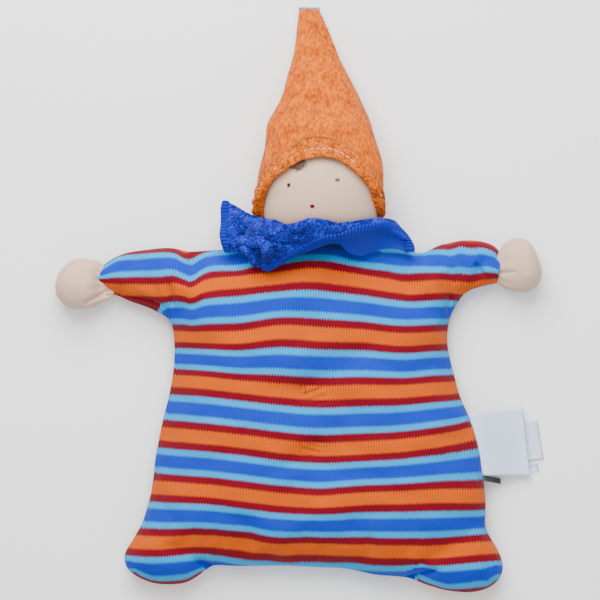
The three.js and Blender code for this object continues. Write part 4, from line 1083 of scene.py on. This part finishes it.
# Lines in millimetres. The folded edge goes round under the chin, the sewn edge runs from the lower end up to the
# right, and the inside of the cloth shows below it on the right.
FOLDED_EDGE = [
    (-31.0, 93.0, 27.0), (-24.0, 96.6, 32.0), (-18.0, 96.9, 37.0), (-12.5, 94.6, 40.0), (-7.0, 95.4, 42.0),
    (0.0, 97.4, 44.0), (7.7, 96.8, 44.6), (15.3, 95.2, 43.8), (28.1, 97.1, 39.5), (36.3, 97.8, 33.0),
    (43.4, 96.2, 25.5), (48.5, 89.8, 20.5), (51.0, 84.4, 18.5), (51.3, 81.2, 19.0),
]
SEWN_EDGE = [
    (-20.5, 71.4, 24.5), (-17.2, 72.8, 26.4), (-11.0, 76.6, 29.4), (-5.1, 80.6, 32.8), (0.0, 84.0, 35.6),
    (7.0, 87.2, 38.6), (14.1, 89.2, 40.4), (21.5, 90.8, 39.4), (28.6, 92.0, 36.6), (34.7, 92.8, 32.6),
    (40.4, 91.8, 28.6), (46.0, 88.4, 25.2), (48.4, 84.4, 24.0), (49.0, 81.4, 23.4),
]
LOOSE_SIDE = [(-20.5, 71.4, 24.5), (-26.6, 74.0, 23.2), (-30.0, 79.0, 24.2), (-32.4, 85.0, 26.0), (-31.0, 93.0, 27.0)]
UPPER_END = {
    "left": [(-43.8, 80.6, 20.5), (-45.2, 87.0, 21.0), (-45.9, 96.0, 19.5), (-45.6, 101.5, 17.5), (-44.6, 105.6, 16.0)],
    "right": [(-27.0, 80.0, 24.5), (-24.5, 85.0, 28.5), (-22.0, 91.0, 31.0), (-21.5, 97.4, 31.0)],
    "bottom": [(-43.8, 80.6, 20.5), (-38.0, 80.4, 22.5), (-33.5, 79.6, 23.6), (-27.0, 80.0, 24.5)],
    "top": [
        (-44.6, 105.6, 16.0), (-42.0, 106.2, 17.0), (-37.0, 103.6, 20.0), (-31.0, 100.2, 25.0), (-25.0, 98.0, 29.0),
        (-21.5, 97.4, 31.0),
    ],
}
INSIDE_TOP = [
    (-5.1, 80.4, 32.0), (5.0, 86.0, 36.8), (14.0, 88.8, 38.6), (21.5, 90.2, 37.6), (28.6, 91.2, 34.8),
    (34.7, 92.0, 31.0), (40.4, 91.2, 27.0), (46.4, 88.4, 23.8), (49.8, 82.0, 22.4),
]
INSIDE_BOTTOM = [
    (-5.1, 79.3, 31.4), (1.0, 81.6, 32.8), (7.0, 83.8, 33.6), (12.0, 85.0, 33.0), (15.5, 84.2, 31.0),
    (17.8, 81.6, 28.6), (21.0, 79.5, 26.8), (25.8, 78.6, 25.2), (31.7, 80.3, 23.8), (37.6, 82.2, 22.8),
    (44.0, 82.0, 22.4), (49.8, 81.0, 22.2),
]
# Each bunch of cloth at the knot: its thickness and the line it winds along.
KNOT_FOLDS = [
    (3.9, [(-32.0, 91.4, 28.0), (-26.0, 91.2, 34.6), (-19.0, 91.0, 38.6), (-11.0, 90.0, 39.6), (-3.0, 89.0, 38.4)]),
    (3.0, [(-37.0, 87.0, 25.0), (-31.0, 86.0, 31.0), (-23.0, 86.4, 36.0), (-14.0, 86.0, 36.4)]),
    (3.0, [(-28.6, 89.4, 34.0), (-24.6, 86.0, 38.0), (-21.8, 81.6, 36.0), (-21.4, 75.6, 28.6)]),
    (2.5, [(-36.6, 85.0, 24.6), (-32.4, 82.6, 29.0), (-29.0, 78.6, 28.8), (-26.8, 74.4, 25.0)]),
    (2.6, [(-33.0, 96.6, 26.0), (-26.0, 94.4, 32.6), (-17.0, 93.4, 38.0)]),
    (2.3, [(-19.0, 89.6, 37.4), (-15.0, 84.4, 36.4), (-12.4, 80.0, 32.4)]),
]


def cloth_grid(left, right, bottom, top, tall, wide):
    """A grid of cloth between four edge lines in space."""
    lines = [smooth_line(line, count) for line, count in ((left, tall), (right, tall), (bottom, wide), (top, wide))]
    return patch(*lines)


def lift(points, rise):
    """Moves a grid of points out along its own slope by rise millimetres."""
    across, along = np.gradient(points, axis=1), np.gradient(points, axis=0)
    return points + unit(np.cross(across, along)) * np.asarray(rise)[..., None]


def sheet_of(name, grid, thickness, material, turned=False, under=None, cloth=None):
    """A closed, flat piece of cloth: the grid is its upper face, and its lower face lies thickness below, joined
    round the edge."""
    rows, columns = grid.shape[:2]
    under = lift(grid if under is None else under, -thickness * np.ones((rows, columns)))
    points = np.concatenate([grid.reshape(-1, 3), under.reshape(-1, 3)])
    faces = grid_faces(rows, columns, turned=turned)
    index = np.arange(rows * columns).reshape(rows, columns)
    ring = np.concatenate([index[0], index[1:, -1], index[-1, -2::-1], index[-2:0:-1, 0]])
    rim = np.stack([ring, ring + rows * columns, np.roll(ring, -1) + rows * columns, np.roll(ring, -1)], -1)
    rim = rim[:, ::-1] if turned else rim
    if cloth is None:
        cloth = np.stack(np.meshgrid(np.arange(columns) * 0.45, np.arange(rows) * 0.45), axis=-1)
    cloth = np.tile(cloth.reshape(-1, 2), (2, 1))
    return surface(name, points, np.vstack([faces, faces[:, ::-1] + rows * columns, rim]), material, cloth)


def neckerchief_front(terry, ribbed):
    """The front of the neckerchief: cloth between the folded edge and the sewn edge, rolled outward, with pleats that
    fan out from the knot. Its hem, 4.6 mm wide, is a piece of its own: bound with thread, thicker than the cloth,
    with ribs 1.5 mm apart."""
    rows, columns = 72, 300
    far_side = [SEWN_EDGE[-1], (50.6, 80.6, 21.5), FOLDED_EDGE[-1]]
    grid = cloth_grid(LOOSE_SIDE, far_side, SEWN_EDGE, FOLDED_EDGE, rows, columns)
    v, u = shares(rows, columns)
    roll = 2.8 * np.sin(np.pi * v) ** 0.8 * (1 - 0.4 * u)
    x, y = grid[..., 0], grid[..., 1]
    angle = np.arctan2(y - 87.0, x + 24.0)
    fan = bell(u, 0.34) * np.sin(np.pi * v) ** 0.6
    broad, fine = np.abs(np.sin(4 * angle + 0.3)), np.abs(np.sin(9 * angle + 1))
    pleats = (4.2 * (broad**0.6 - 0.7) + 1.2 * (fine**0.6 - 0.7)) * fan
    pleats += 1.0 * np.sin(2 * np.pi * (2.2 * v + 1.1 * u)) * bell(u - 0.4, 0.2) * np.sin(np.pi * v)
    lumps = 0.9 * waves(grid, 15, 31) * np.sin(np.pi * v) ** 0.6
    deep, along = length_along(grid, 0), length_along(grid, 1)[:1] + 0 * v
    hem = deep < FRONT_HEM
    ribs = 0.55 * np.abs(np.sin(np.pi * along / THREAD_RIB)) ** 0.7
    bound = ease(deep / 0.9) * ease((FRONT_HEM - deep) / 0.7)
    base = lift(grid, roll + 0.3 * pleats)
    front = lift(grid, roll + (pleats + lumps) * ease(deep / 7) - 0.2 * hem)
    last = int(hem.sum(axis=0).max()) + 1
    band = lift(front, (0.9 + ribs) * bound)[:last]
    cloth = np.dstack([along, deep])
    keep = hem[:last].sum(axis=0).astype(int)
    rows_kept = np.minimum(np.arange(last)[:, None], np.maximum(keep, 2)[None])
    band = np.take_along_axis(band, rows_kept[..., None], 0)
    return [
        sheet_of("neckerchief_front", front, sizes().terry_thickness / MM, terry, under=base, cloth=cloth),
        sheet_of("neckerchief_hem", band, 0.9, ribbed, cloth=cloth[:last]),
    ]


def neckerchief_inside(material):
    """The inside of the cloth, smooth and knitted, which dips behind the sewn edge on the right and folds back near
    its middle."""
    ends = [[INSIDE_BOTTOM[k], INSIDE_TOP[k]] for k in (0, -1)]
    grid = cloth_grid(*ends, INSIDE_BOTTOM, INSIDE_TOP, 40, 120)
    v, u = shares(40, 120)
    dip = -1.3 * np.sin(np.pi * np.clip(u * 1.15, 0, 1)) + 0.7 * np.sin(2 * np.pi * (u * 1.7 + v * 0.5))
    dip *= np.sin(np.pi * v)
    return sheet_of("neckerchief_inside", lift(grid, dip), 0.8, material)


def neckerchief_upper_end(terry, ribbed):
    """The upper loose end: a short flap from the knot to the shoulder, folded in upright waves, with its corner up.
    Its outer edge is bound like the hem."""
    rows, columns = 90, 84
    grid = cloth_grid(UPPER_END["left"], UPPER_END["right"], UPPER_END["bottom"], UPPER_END["top"], rows, columns)
    v, u = shares(rows, columns)
    edge = np.sin(np.pi * np.clip(v, 0.03, 0.97)) ** 0.4
    upright = 4.0 * (np.abs(np.sin(np.pi * (1.9 * u - 0.35 * v) + 0.2)) ** 0.7 - 0.6) * ease(u * 3)
    waved = (upright + 1.1 * np.sin(2 * np.pi * (1.3 * v + 0.4 * u))) * edge
    surface_at = lift(grid, waved + 0.8 * waves(grid, 11, 37))
    out, along = length_along(grid, 1), length_along(grid, 0)
    last = int((out[0] < UPPER_HEM).sum()) + 1
    ribs = 0.55 * np.abs(np.sin(np.pi * along / THREAD_RIB)) ** 0.7
    band = lift(surface_at, (0.8 + ribs) * ease(out / 0.9) * ease((UPPER_HEM - out) / 0.7))[:, :last]
    cloth = np.dstack([along, out])
    thickness = sizes().terry_thickness / MM
    return [
        sheet_of("neckerchief_upper_end", surface_at, thickness, terry, under=lift(grid, 0.5 * waved), cloth=cloth),
        sheet_of("neckerchief_upper_hem", band, 0.9, ribbed, cloth=cloth[:, :last]),
    ]


def neckerchief_knot(material):
    """The knot: bunches of cloth that wind over and under one another, each a thick round fold, fuller in its
    middle."""
    sides, count = 40, 70
    made, faces = [], []
    turn = np.linspace(0, 2 * np.pi, sides, endpoint=False)
    t = np.linspace(0, 1, count)
    for number, (thick, line) in enumerate(KNOT_FOLDS):
        path = smooth_line(line, count)
        ahead = unit(np.gradient(path, axis=0))
        side = unit(np.cross(ahead, (0.2, 0.3, 1.0)))
        other = np.cross(side, ahead)
        size = thick * np.sin(np.pi * np.clip(t, 0.02, 0.98)) ** 0.45
        ring = side[:, None] * np.cos(turn)[:, None] * 1.15 + other[:, None] * np.sin(turn)[:, None] * 0.85
        points = path[:, None] + ring * size[:, None, None]
        uneven = 0.5 * waves(points, 9, 50 + number) + 0.2 * waves(points, 4.5, 60 + number)
        points = points + ring * uneven[..., None]
        faces += [one + len(made) * count * sides for one in tube_faces(count, sides)]
        made.append(points.reshape(-1, 3))
    return surface("neckerchief_knot", np.vstack(made), faces, material)


def neckerchief_back(material):
    """The part that goes round behind the neck, flat between the head and the ground."""
    upper = [
        (50.8, 83.6, 18.5), (49.0, 91.0, 9.0), (38.0, 96.5, 4.2), (22.0, 98.4, 2.8), (5.0, 99.0, 2.4),
        (-12.0, 98.4, 2.8), (-28.0, 97.0, 4.6), (-38.0, 94.0, 12.0), (-34.0, 91.0, 24.0),
    ]
    lower = [
        (50.6, 80.4, 18.8), (46.5, 86.2, 9.4), (37.0, 87.6, 3.6), (22.0, 87.2, 1.9), (5.0, 86.6, 1.7),
        (-12.0, 87.2, 1.9), (-27.0, 87.4, 3.6), (-36.5, 86.0, 12.0), (-33.0, 83.0, 23.0),
    ]
    grid = cloth_grid([lower[0], upper[0]], [lower[-1], upper[-1]], lower, upper, 26, 200)
    v = np.linspace(0, 1, 26)[:, None]
    grid = grid + (0.5 * waves(grid, 14, 43) * np.sin(np.pi * v))[..., None] * (0, 0, 1)
    grid[..., 2] = np.maximum(grid[..., 2], 1.7)
    return sheet_of("neckerchief_back", grid, 1.4, material, turned=True)


def make_neck(material):
    """The neck: a short gathered tube of tricot from the body's top edge to the head, 8 mm wide at the body and 18 mm
    at the head."""
    rows, columns = 24, 80
    phi = np.linspace(0, 2 * np.pi, columns, endpoint=False)[None]
    middle = smooth_line([(4.1, 84.0, 6.6), (4.1, 88.0, 10.4), (4.3, 92.0, 15.5), (4.6, 96.0, 20.5)], rows)[:, None]
    radius = np.interp(np.linspace(0, 1, rows), [0, 0.4, 1], [4.0, 5.0, 9.0])[:, None] * (1 + 0.07 * np.cos(13 * phi))
    points = middle + radius[..., None] * np.stack([np.cos(phi), -0.6 * np.sin(phi), 0.8 * np.sin(phi)], -1)
    cloth = np.dstack([8.0 * phi + 0 * radius, np.linspace(0, 16, rows)[:, None] + 0 * radius])
    return surface("neck_skin", points.reshape(-1, 3), tube_faces(rows, columns), material, cloth.reshape(-1, 2))


# ---------- labels, tufts and loose ends ----------

SEAM_TOP = np.array([82.259, -1.488])
SEAM_DOWN = np.array([0.22668, -0.97397])
SEAM_OUT = np.array([0.97397, 0.22668])


# Each label: its ends down the seam, its two far corners in the picture, its height and rise, and whether its leaves
# part.
LABELS = [
    ("main_label", 0.4, 32.5, ((109.1, 0.8), (112.9, -33.8)), 0.72, 2.2, True),
    ("second_label", 7.0, 27.0, ((116.6, -5.4), (119.8, -25.2)), -0.72, 0.6, True),
    ("third_label", 26.6, 32.2, ((116.8, -27.6), (117.4, -31.6)), -0.5, 0.2, False),
    ("dark_tab", 32.6, 35.4, ((97.6, -35.2), (97.9, -38.0)), 0.0, 3.0, True),
]


def make_label(name, start, end, corners, level, lift_end, material, folded=True):
    """A woven tape folded in half, with both ends in the side seam: two leaves that part a little and meet in a round
    fold at the far edge.

    corners are the far edge's two ends in the picture; start and end are its place down the seam."""
    rows, columns = 40, 30
    near = [SEAM_TOP + SEAM_DOWN * start - SEAM_OUT * 1.2, SEAM_TOP + SEAM_DOWN * end - SEAM_OUT * 1.2]
    v = np.linspace(0, 1, columns)[None, :, None]
    t = np.linspace(0, 1, rows)[:, None, None]
    a = (1 - t) * near[0] + t * np.array(corners[0])
    b = (1 - t) * near[1] + t * np.array(corners[1])
    flat = (1 - v) * a + v * b
    t, v = t[..., 0], v[..., 0]
    height = SEAM_HEIGHT + level - (SEAM_HEIGHT - 1.0) * ease(t * 1.1) + lift_end * t**2
    height = height + 0.45 * np.sin(np.pi * v * 1.3 + 2 * t) * t
    gap = (0.35 + 0.55 * np.sin(np.pi * t**0.8)) if folded else 0.12 + 0 * t
    gap = gap * np.sqrt(np.clip(1 - np.clip((t - 0.93) / 0.07, 0, 1) ** 2, 0.0, 1))
    upper = np.dstack([flat, height + gap])
    lower = np.dstack([flat, height - gap])[::-1]
    grid = np.concatenate([upper, lower[1:]])
    grid[..., 2] = np.maximum(grid[..., 2], 0.25)
    return sheet_of(name, grid, sizes().label_thickness / MM, material)


def satin(name, colour, rough=0.38):
    """Woven satin tape: smooth, a little glossy, with the fine cross lines of its weave."""
    material, tree, shader = new_material(name)
    where = node(tree, "TexCoord", out="Object")
    settings = {"Vector": where, "Scale": 340.0, "Distortion": 0.6, "Detail": 1.0}
    lines = node(tree, "TexWave", settings, "Fac", bands_direction="X")
    tree.links.new(shade(tree, colour, 0.93, 1.03, lines), shader.inputs["Base Color"])
    bump = node(tree, "Bump", {"Height": lines, "Strength": 0.15, "Distance": 0.0001})
    tree.links.new(bump, shader.inputs["Normal"])
    shader.inputs["Roughness"].default_value = rough
    shader.inputs["Specular IOR Level"].default_value = 0.45
    return material


def tuft_threads(material, front):
    """The tufts: a few turns of thread through the body, which start and end in its front. front is the front's
    points."""
    lines = []
    for (x, y), count in zip(TUFTS, (4, 3)):
        z = front[np.argmin(((front[:, :2] - (x, y)) ** 2).sum(1)), 2]
        for k in range(count):
            dx = -3.6 + 0.5 * k * (k < 2)
            loop = (dx, -3.0, -1.2), (dx + 0.15, -1.2, 0.55), (dx + 0.2, 1.6, 0.55), (dx + 0.1, 3.2, -1.2)
            lines.append([(x + a, y + b, z + c) for a, b, c in loop])
    return strands("tuft_threads", lines, sizes().tuft_thread_radius / MM, material, points=9)


def loose_thread(material):
    """The end of the thread that ties the left wrist, which sticks out under the sleeve."""
    lines = [
        [(-104.0, 62.0, 8.0), (-102.4, 59.6, 8.6), (-101.6, 57.4, 8.2), (-101.9, 55.6, 6.4)],
        [(-104.0, 62.4, 8.2), (-103.0, 59.8, 9.2), (-102.4, 57.8, 9.0), (-103.1, 56.4, 7.0)],
    ]
    return strands("loose_wrist_thread", lines, 0.4, material, points=10)


# ---------- the stage ----------


def make_stage():
    """A plain pale floor, a broad soft light over the cap's end as in a photographer's tent, fill from the sides, and
    the camera straight above."""
    material, _, shader = new_material("matt_white_board")
    shader.inputs["Base Color"].default_value = linear("#F4F4F4")
    shader.inputs["Roughness"].default_value = 0.9
    shader.inputs["Specular IOR Level"].default_value = 0.1
    corners = [(-900, -900, 0), (900, -900, 0), (900, 900, 0), (-900, 900, 0)]
    floor = surface("floor", corners, np.array([[0, 1, 2, 3]]), material)
    for name, place, turn, size, power in [
        ("window_light", (-0.10, 0.62, 0.62), (-0.80, -0.10, 0.0), 0.8, 17.5),
        ("front_fill", (0.15, -0.75, 0.75), (0.78, 0.1, 0.0), 1.1, 3.4),
        ("top_fill", (0.0, 0.0, 1.15), (0.0, 0.0, 0.0), 0.9, 4.6),
    ]:
        light = bpy.data.lights.new(name, "AREA")
        light.shape = "DISK"
        light.size = size
        light.energy = power
        lamp = bpy.data.objects.new(name, light)
        lamp.location = place
        lamp.rotation_euler = turn
        lamp.visible_camera = False
        bpy.context.scene.collection.objects.link(lamp)
    world = bpy.data.worlds.new("soft_room")
    world.use_nodes = True
    world.node_tree.nodes["Background"].inputs["Color"].default_value = linear("#FFFFFF")
    world.node_tree.nodes["Background"].inputs["Strength"].default_value = 0.62
    bpy.context.scene.world = world
    eye = bpy.data.cameras.new("camera")
    eye.sensor_width = 36
    eye.lens = 350.9
    eye.clip_start, eye.clip_end = 0.05, 10
    camera = bpy.data.objects.new("camera", eye)
    camera.location = (-0.0051, 0.0562, 3.0)
    bpy.context.scene.collection.objects.link(camera)
    bpy.context.scene.camera = camera


def dress(piece, body, slot, *nodes):
    """Ties a finished piece to a body, and hides the CAD nodes that it stands for. slot is not used."""
    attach(piece, body)
    if nodes:
        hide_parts(*nodes)
    return piece


def material_of(name, make, *values):
    """The material of that name, made the first time that it is asked for."""
    return bpy.data.materials.get(name) or make(name, *values)


# ---------- operators, one for each piece or group of like pieces ----------


class DOLL_OT_body(bpy.types.Operator):
    """Build the striped body with its sleeves and feet"""

    bl_idname = "doll.body"
    bl_label = "Body"

    def execute(self, context):
        body = make_body(material_of("striped_cotton_jersey", striped_jersey))
        dress(body["torso_cover"], "torso", "striped_jersey", "torso_front_panel", "torso_back_panel", "torso_wadding")
        for side, x, sign in (("left", -72, -1), ("right", 72, 1)):
            sleeve, foot = body[f"{side}_sleeve_cover"], body[f"{side}_foot_lobe"]
            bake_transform(sleeve)
            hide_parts(f"{side}_sleeve", f"{side}_arm_wadding")
            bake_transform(foot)
            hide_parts(f"{side}_foot_cover", f"{side}_foot_wadding")
        return {"FINISHED"}


class DOLL_OT_tufts(bpy.types.Operator):
    """Build the threads that hold the body's front and back together, on the body's front"""

    bl_idname = "doll.tufts"
    bl_label = "Tufts"

    def execute(self, context):
        front = points_of(bpy.data.objects["torso_cover"])
        front = front[front[:, 2] > SEAM_HEIGHT]
        material = material_of("orange_cotton_thread", thread, colours().tuft)
        dress(tuft_threads(material, front), "torso", "orange_thread", "upper_tuft_thread", "lower_tuft_thread")
        return {"FINISHED"}


class DOLL_OT_head(bpy.types.Operator):
    """Build the head and the neck that ties it to the body"""

    bl_idname = "doll.head"
    bl_label = "Head and neck"

    def execute(self, context):
        skin = material_of("skin_cotton_tricot", skin_tricot)
        head = dress(make_head(skin), "head", "tricot_skin", "head_cover", "head_core")
        neck = make_neck(skin)
        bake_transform(neck)
        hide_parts("neck_tube", "neck_thread")
        return {"FINISHED"}


class DOLL_OT_face(bpy.types.Operator):
    """Build the stitched eyes and mouth"""

    bl_idname = "doll.face"
    bl_label = "Eyes and mouth"

    def execute(self, context):
        left = material_of("dark_brown_thread", thread, colours().left_eye)
        right = material_of("grey_brown_thread", thread, colours().right_eye)
        mouth = material_of("crimson_thread", thread, colours().mouth)
        slots = ("dark_thread", "left_eye"), ("dark_thread", "right_eye"), ("red_thread", "mouth")
        for piece, (slot, cad_node) in zip(face_stitches(left, right, mouth), slots):
            dress(piece, "head", slot, cad_node)
        return {"FINISHED"}


class DOLL_OT_hair(bpy.types.Operator):
    """Build the tuft of hair that peeks out under the cap"""

    bl_idname = "doll.hair"
    bl_label = "Hair"

    def execute(self, context):
        material = material_of("brown_mohair_yarn", thread, colours().mohair, 0.45)
        dress(hair_lock(material), "head", "brown_mohair", "hair_tuft")
        return {"FINISHED"}


class DOLL_OT_cap(bpy.types.Operator):
    """Build the pointed cap, its turned-up hem and their stitches"""

    bl_idname = "doll.cap"
    bl_label = "Cap"

    def execute(self, context):
        c = colours()
        velour = material_of("orange_cotton_velour", pile, c.velour, c.velour_painted_shade, c.velour_painted_highlight, 1.3, 0.35)
        terry = material_of("orange_cotton_terry", pile, c.terry, c.terry_painted_shade, c.terry_painted_highlight, 1.5)
        cap = dress(make_cap(velour), "head", "orange_velour", "hat")
        hem = dress(make_brim(terry), "head", "orange_terry", "hat_hem")
        edge = dress(brim_edge(material_of("light_brown_thread", thread, c.edge, 0.6)), "head", "orange_terry")
        stitches = dress(brim_stitches(material_of("pale_cotton_thread", thread, c.pale, 0.8)), "head", "pale_thread")
        dress(cap_tip_stitches(material_of("grey_blue_overlock_thread", thread, c.tip, 0.7)), "head", "pale_thread")
        return {"FINISHED"}


class DOLL_OT_hands(bpy.types.Operator):
    """Build both hands and the loose end of the thread that ties the left wrist"""

    bl_idname = "doll.hands"
    bl_label = "Hands"

    def execute(self, context):
        skin = material_of("skin_cotton_tricot", skin_tricot)
        hands = ("left", LEFT_HAND, LEFT_CREASES, 5), ("right", RIGHT_HAND, RIGHT_CREASES, 6)
        for side, rows, creases, seed in hands:
            hand = make_hand(f"{side}_hand_skin", rows, creases, skin, seed)
            dress(
                hand, f"{side}_hand", "tricot_skin",
                f"{side}_hand_cover", f"{side}_hand_core", f"{side}_wrist_thread",
            )
        dress(loose_thread(material_of("pale_cotton_thread", thread, colours().pale, 0.8)), "left_arm", "pale_thread")
        return {"FINISHED"}


class DOLL_OT_neckerchief(bpy.types.Operator):
    """Build the neckerchief: front, loose end, knot, inside and back, with bound edges"""

    bl_idname = "doll.neckerchief"
    bl_label = "Neckerchief"

    def execute(self, context):
        c = colours()
        terry = material_of("blue_cotton_terry", pile, c.scarf, c.scarf_painted_shade, c.scarf_painted_highlight, 1.1)
        knit = material_of("blue_knitted_inside", thread, c.scarf_inside, 0.85)
        ribbed = material_of("blue_overlock_thread", ribbed_thread, c.scarf_thread)
        front, hem = neckerchief_front(terry, ribbed)
        upper, upper_hem = neckerchief_upper_end(terry, ribbed)
        knot = neckerchief_knot(terry)
        for piece in (front, upper, knot):
            roughen(piece, "VORONOI", 1.1, 0.6, 0.3)
        under, back = neckerchief_inside(knit), neckerchief_back(terry)
        for piece in (front, hem, upper, upper_hem, knot, under, back):
            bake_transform(piece)
        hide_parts("neckerchief")
        return {"FINISHED"}


class DOLL_OT_labels(bpy.types.Operator):
    """Build the bare labels and the dark tab in the side seam"""

    bl_idname = "doll.labels"
    bl_label = "Labels"

    def execute(self, context):
        white = material_of("white_woven_satin", satin, colours().satin)
        dark = material_of("dark_woven_tape", satin, colours().tape, 0.6)
        for node_name, start, end, corners, level, raised, folded in LABELS:
            material, slot = (dark, "dark_tape") if node_name == "dark_tab" else (white, "white_satin")
            tape = make_label(node_name + "_tape", start, end, corners, level, raised, material, folded)
            dress(tape, "labels", slot, node_name)
        return {"FINISHED"}


class DOLL_OT_stage(bpy.types.Operator):
    """Build the pale floor, the soft lights and the camera"""

    bl_idname = "doll.stage"
    bl_label = "Stage"

    def execute(self, context):
        make_stage()
        return {"FINISHED"}


OPERATORS = [
    DOLL_OT_body, DOLL_OT_tufts, DOLL_OT_head, DOLL_OT_face, DOLL_OT_hair, DOLL_OT_cap, DOLL_OT_hands,
    DOLL_OT_neckerchief, DOLL_OT_labels, DOLL_OT_stage,
]


class DOLL_PT_build(bpy.types.Panel):
    """The doll's sizes, colours and pieces in the sidebar"""

    bl_idname = "DOLL_PT_build"
    bl_label = "Comforter doll"
    bl_space_type = "VIEW_3D"
    bl_region_type = "UI"
    bl_category = "Doll"

    def draw(self, context):
        for group in (context.scene.doll_sizes, context.scene.doll_colours):
            box = self.layout.box()
            for key in group.__annotations__:
                box.prop(group, key)
        column = self.layout.column()
        for operator in OPERATORS:
            column.operator(operator.bl_idname)


CLASSES = [DollSizes, DollColours, *OPERATORS, DOLL_PT_build]


def register():
    for one in CLASSES:
        bpy.utils.register_class(one)
    bpy.types.Scene.doll_sizes = bpy.props.PointerProperty(type=DollSizes)
    bpy.types.Scene.doll_colours = bpy.props.PointerProperty(type=DollColours)


def unregister():
    del bpy.types.Scene.doll_colours
    del bpy.types.Scene.doll_sizes
    for one in reversed(CLASSES):
        bpy.utils.unregister_class(one)


def main():
    """Registers the classes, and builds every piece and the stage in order."""
    register()
    bpy.ops.doll.body()
    bpy.ops.doll.tufts()
    bpy.ops.doll.head()
    bpy.ops.doll.face()
    bpy.ops.doll.hair()
    bpy.ops.doll.cap()
    bpy.ops.doll.hands()
    bpy.ops.doll.neckerchief()
    bpy.ops.doll.labels()
    bpy.ops.doll.stage()


if __name__ == "__main__":
    main()
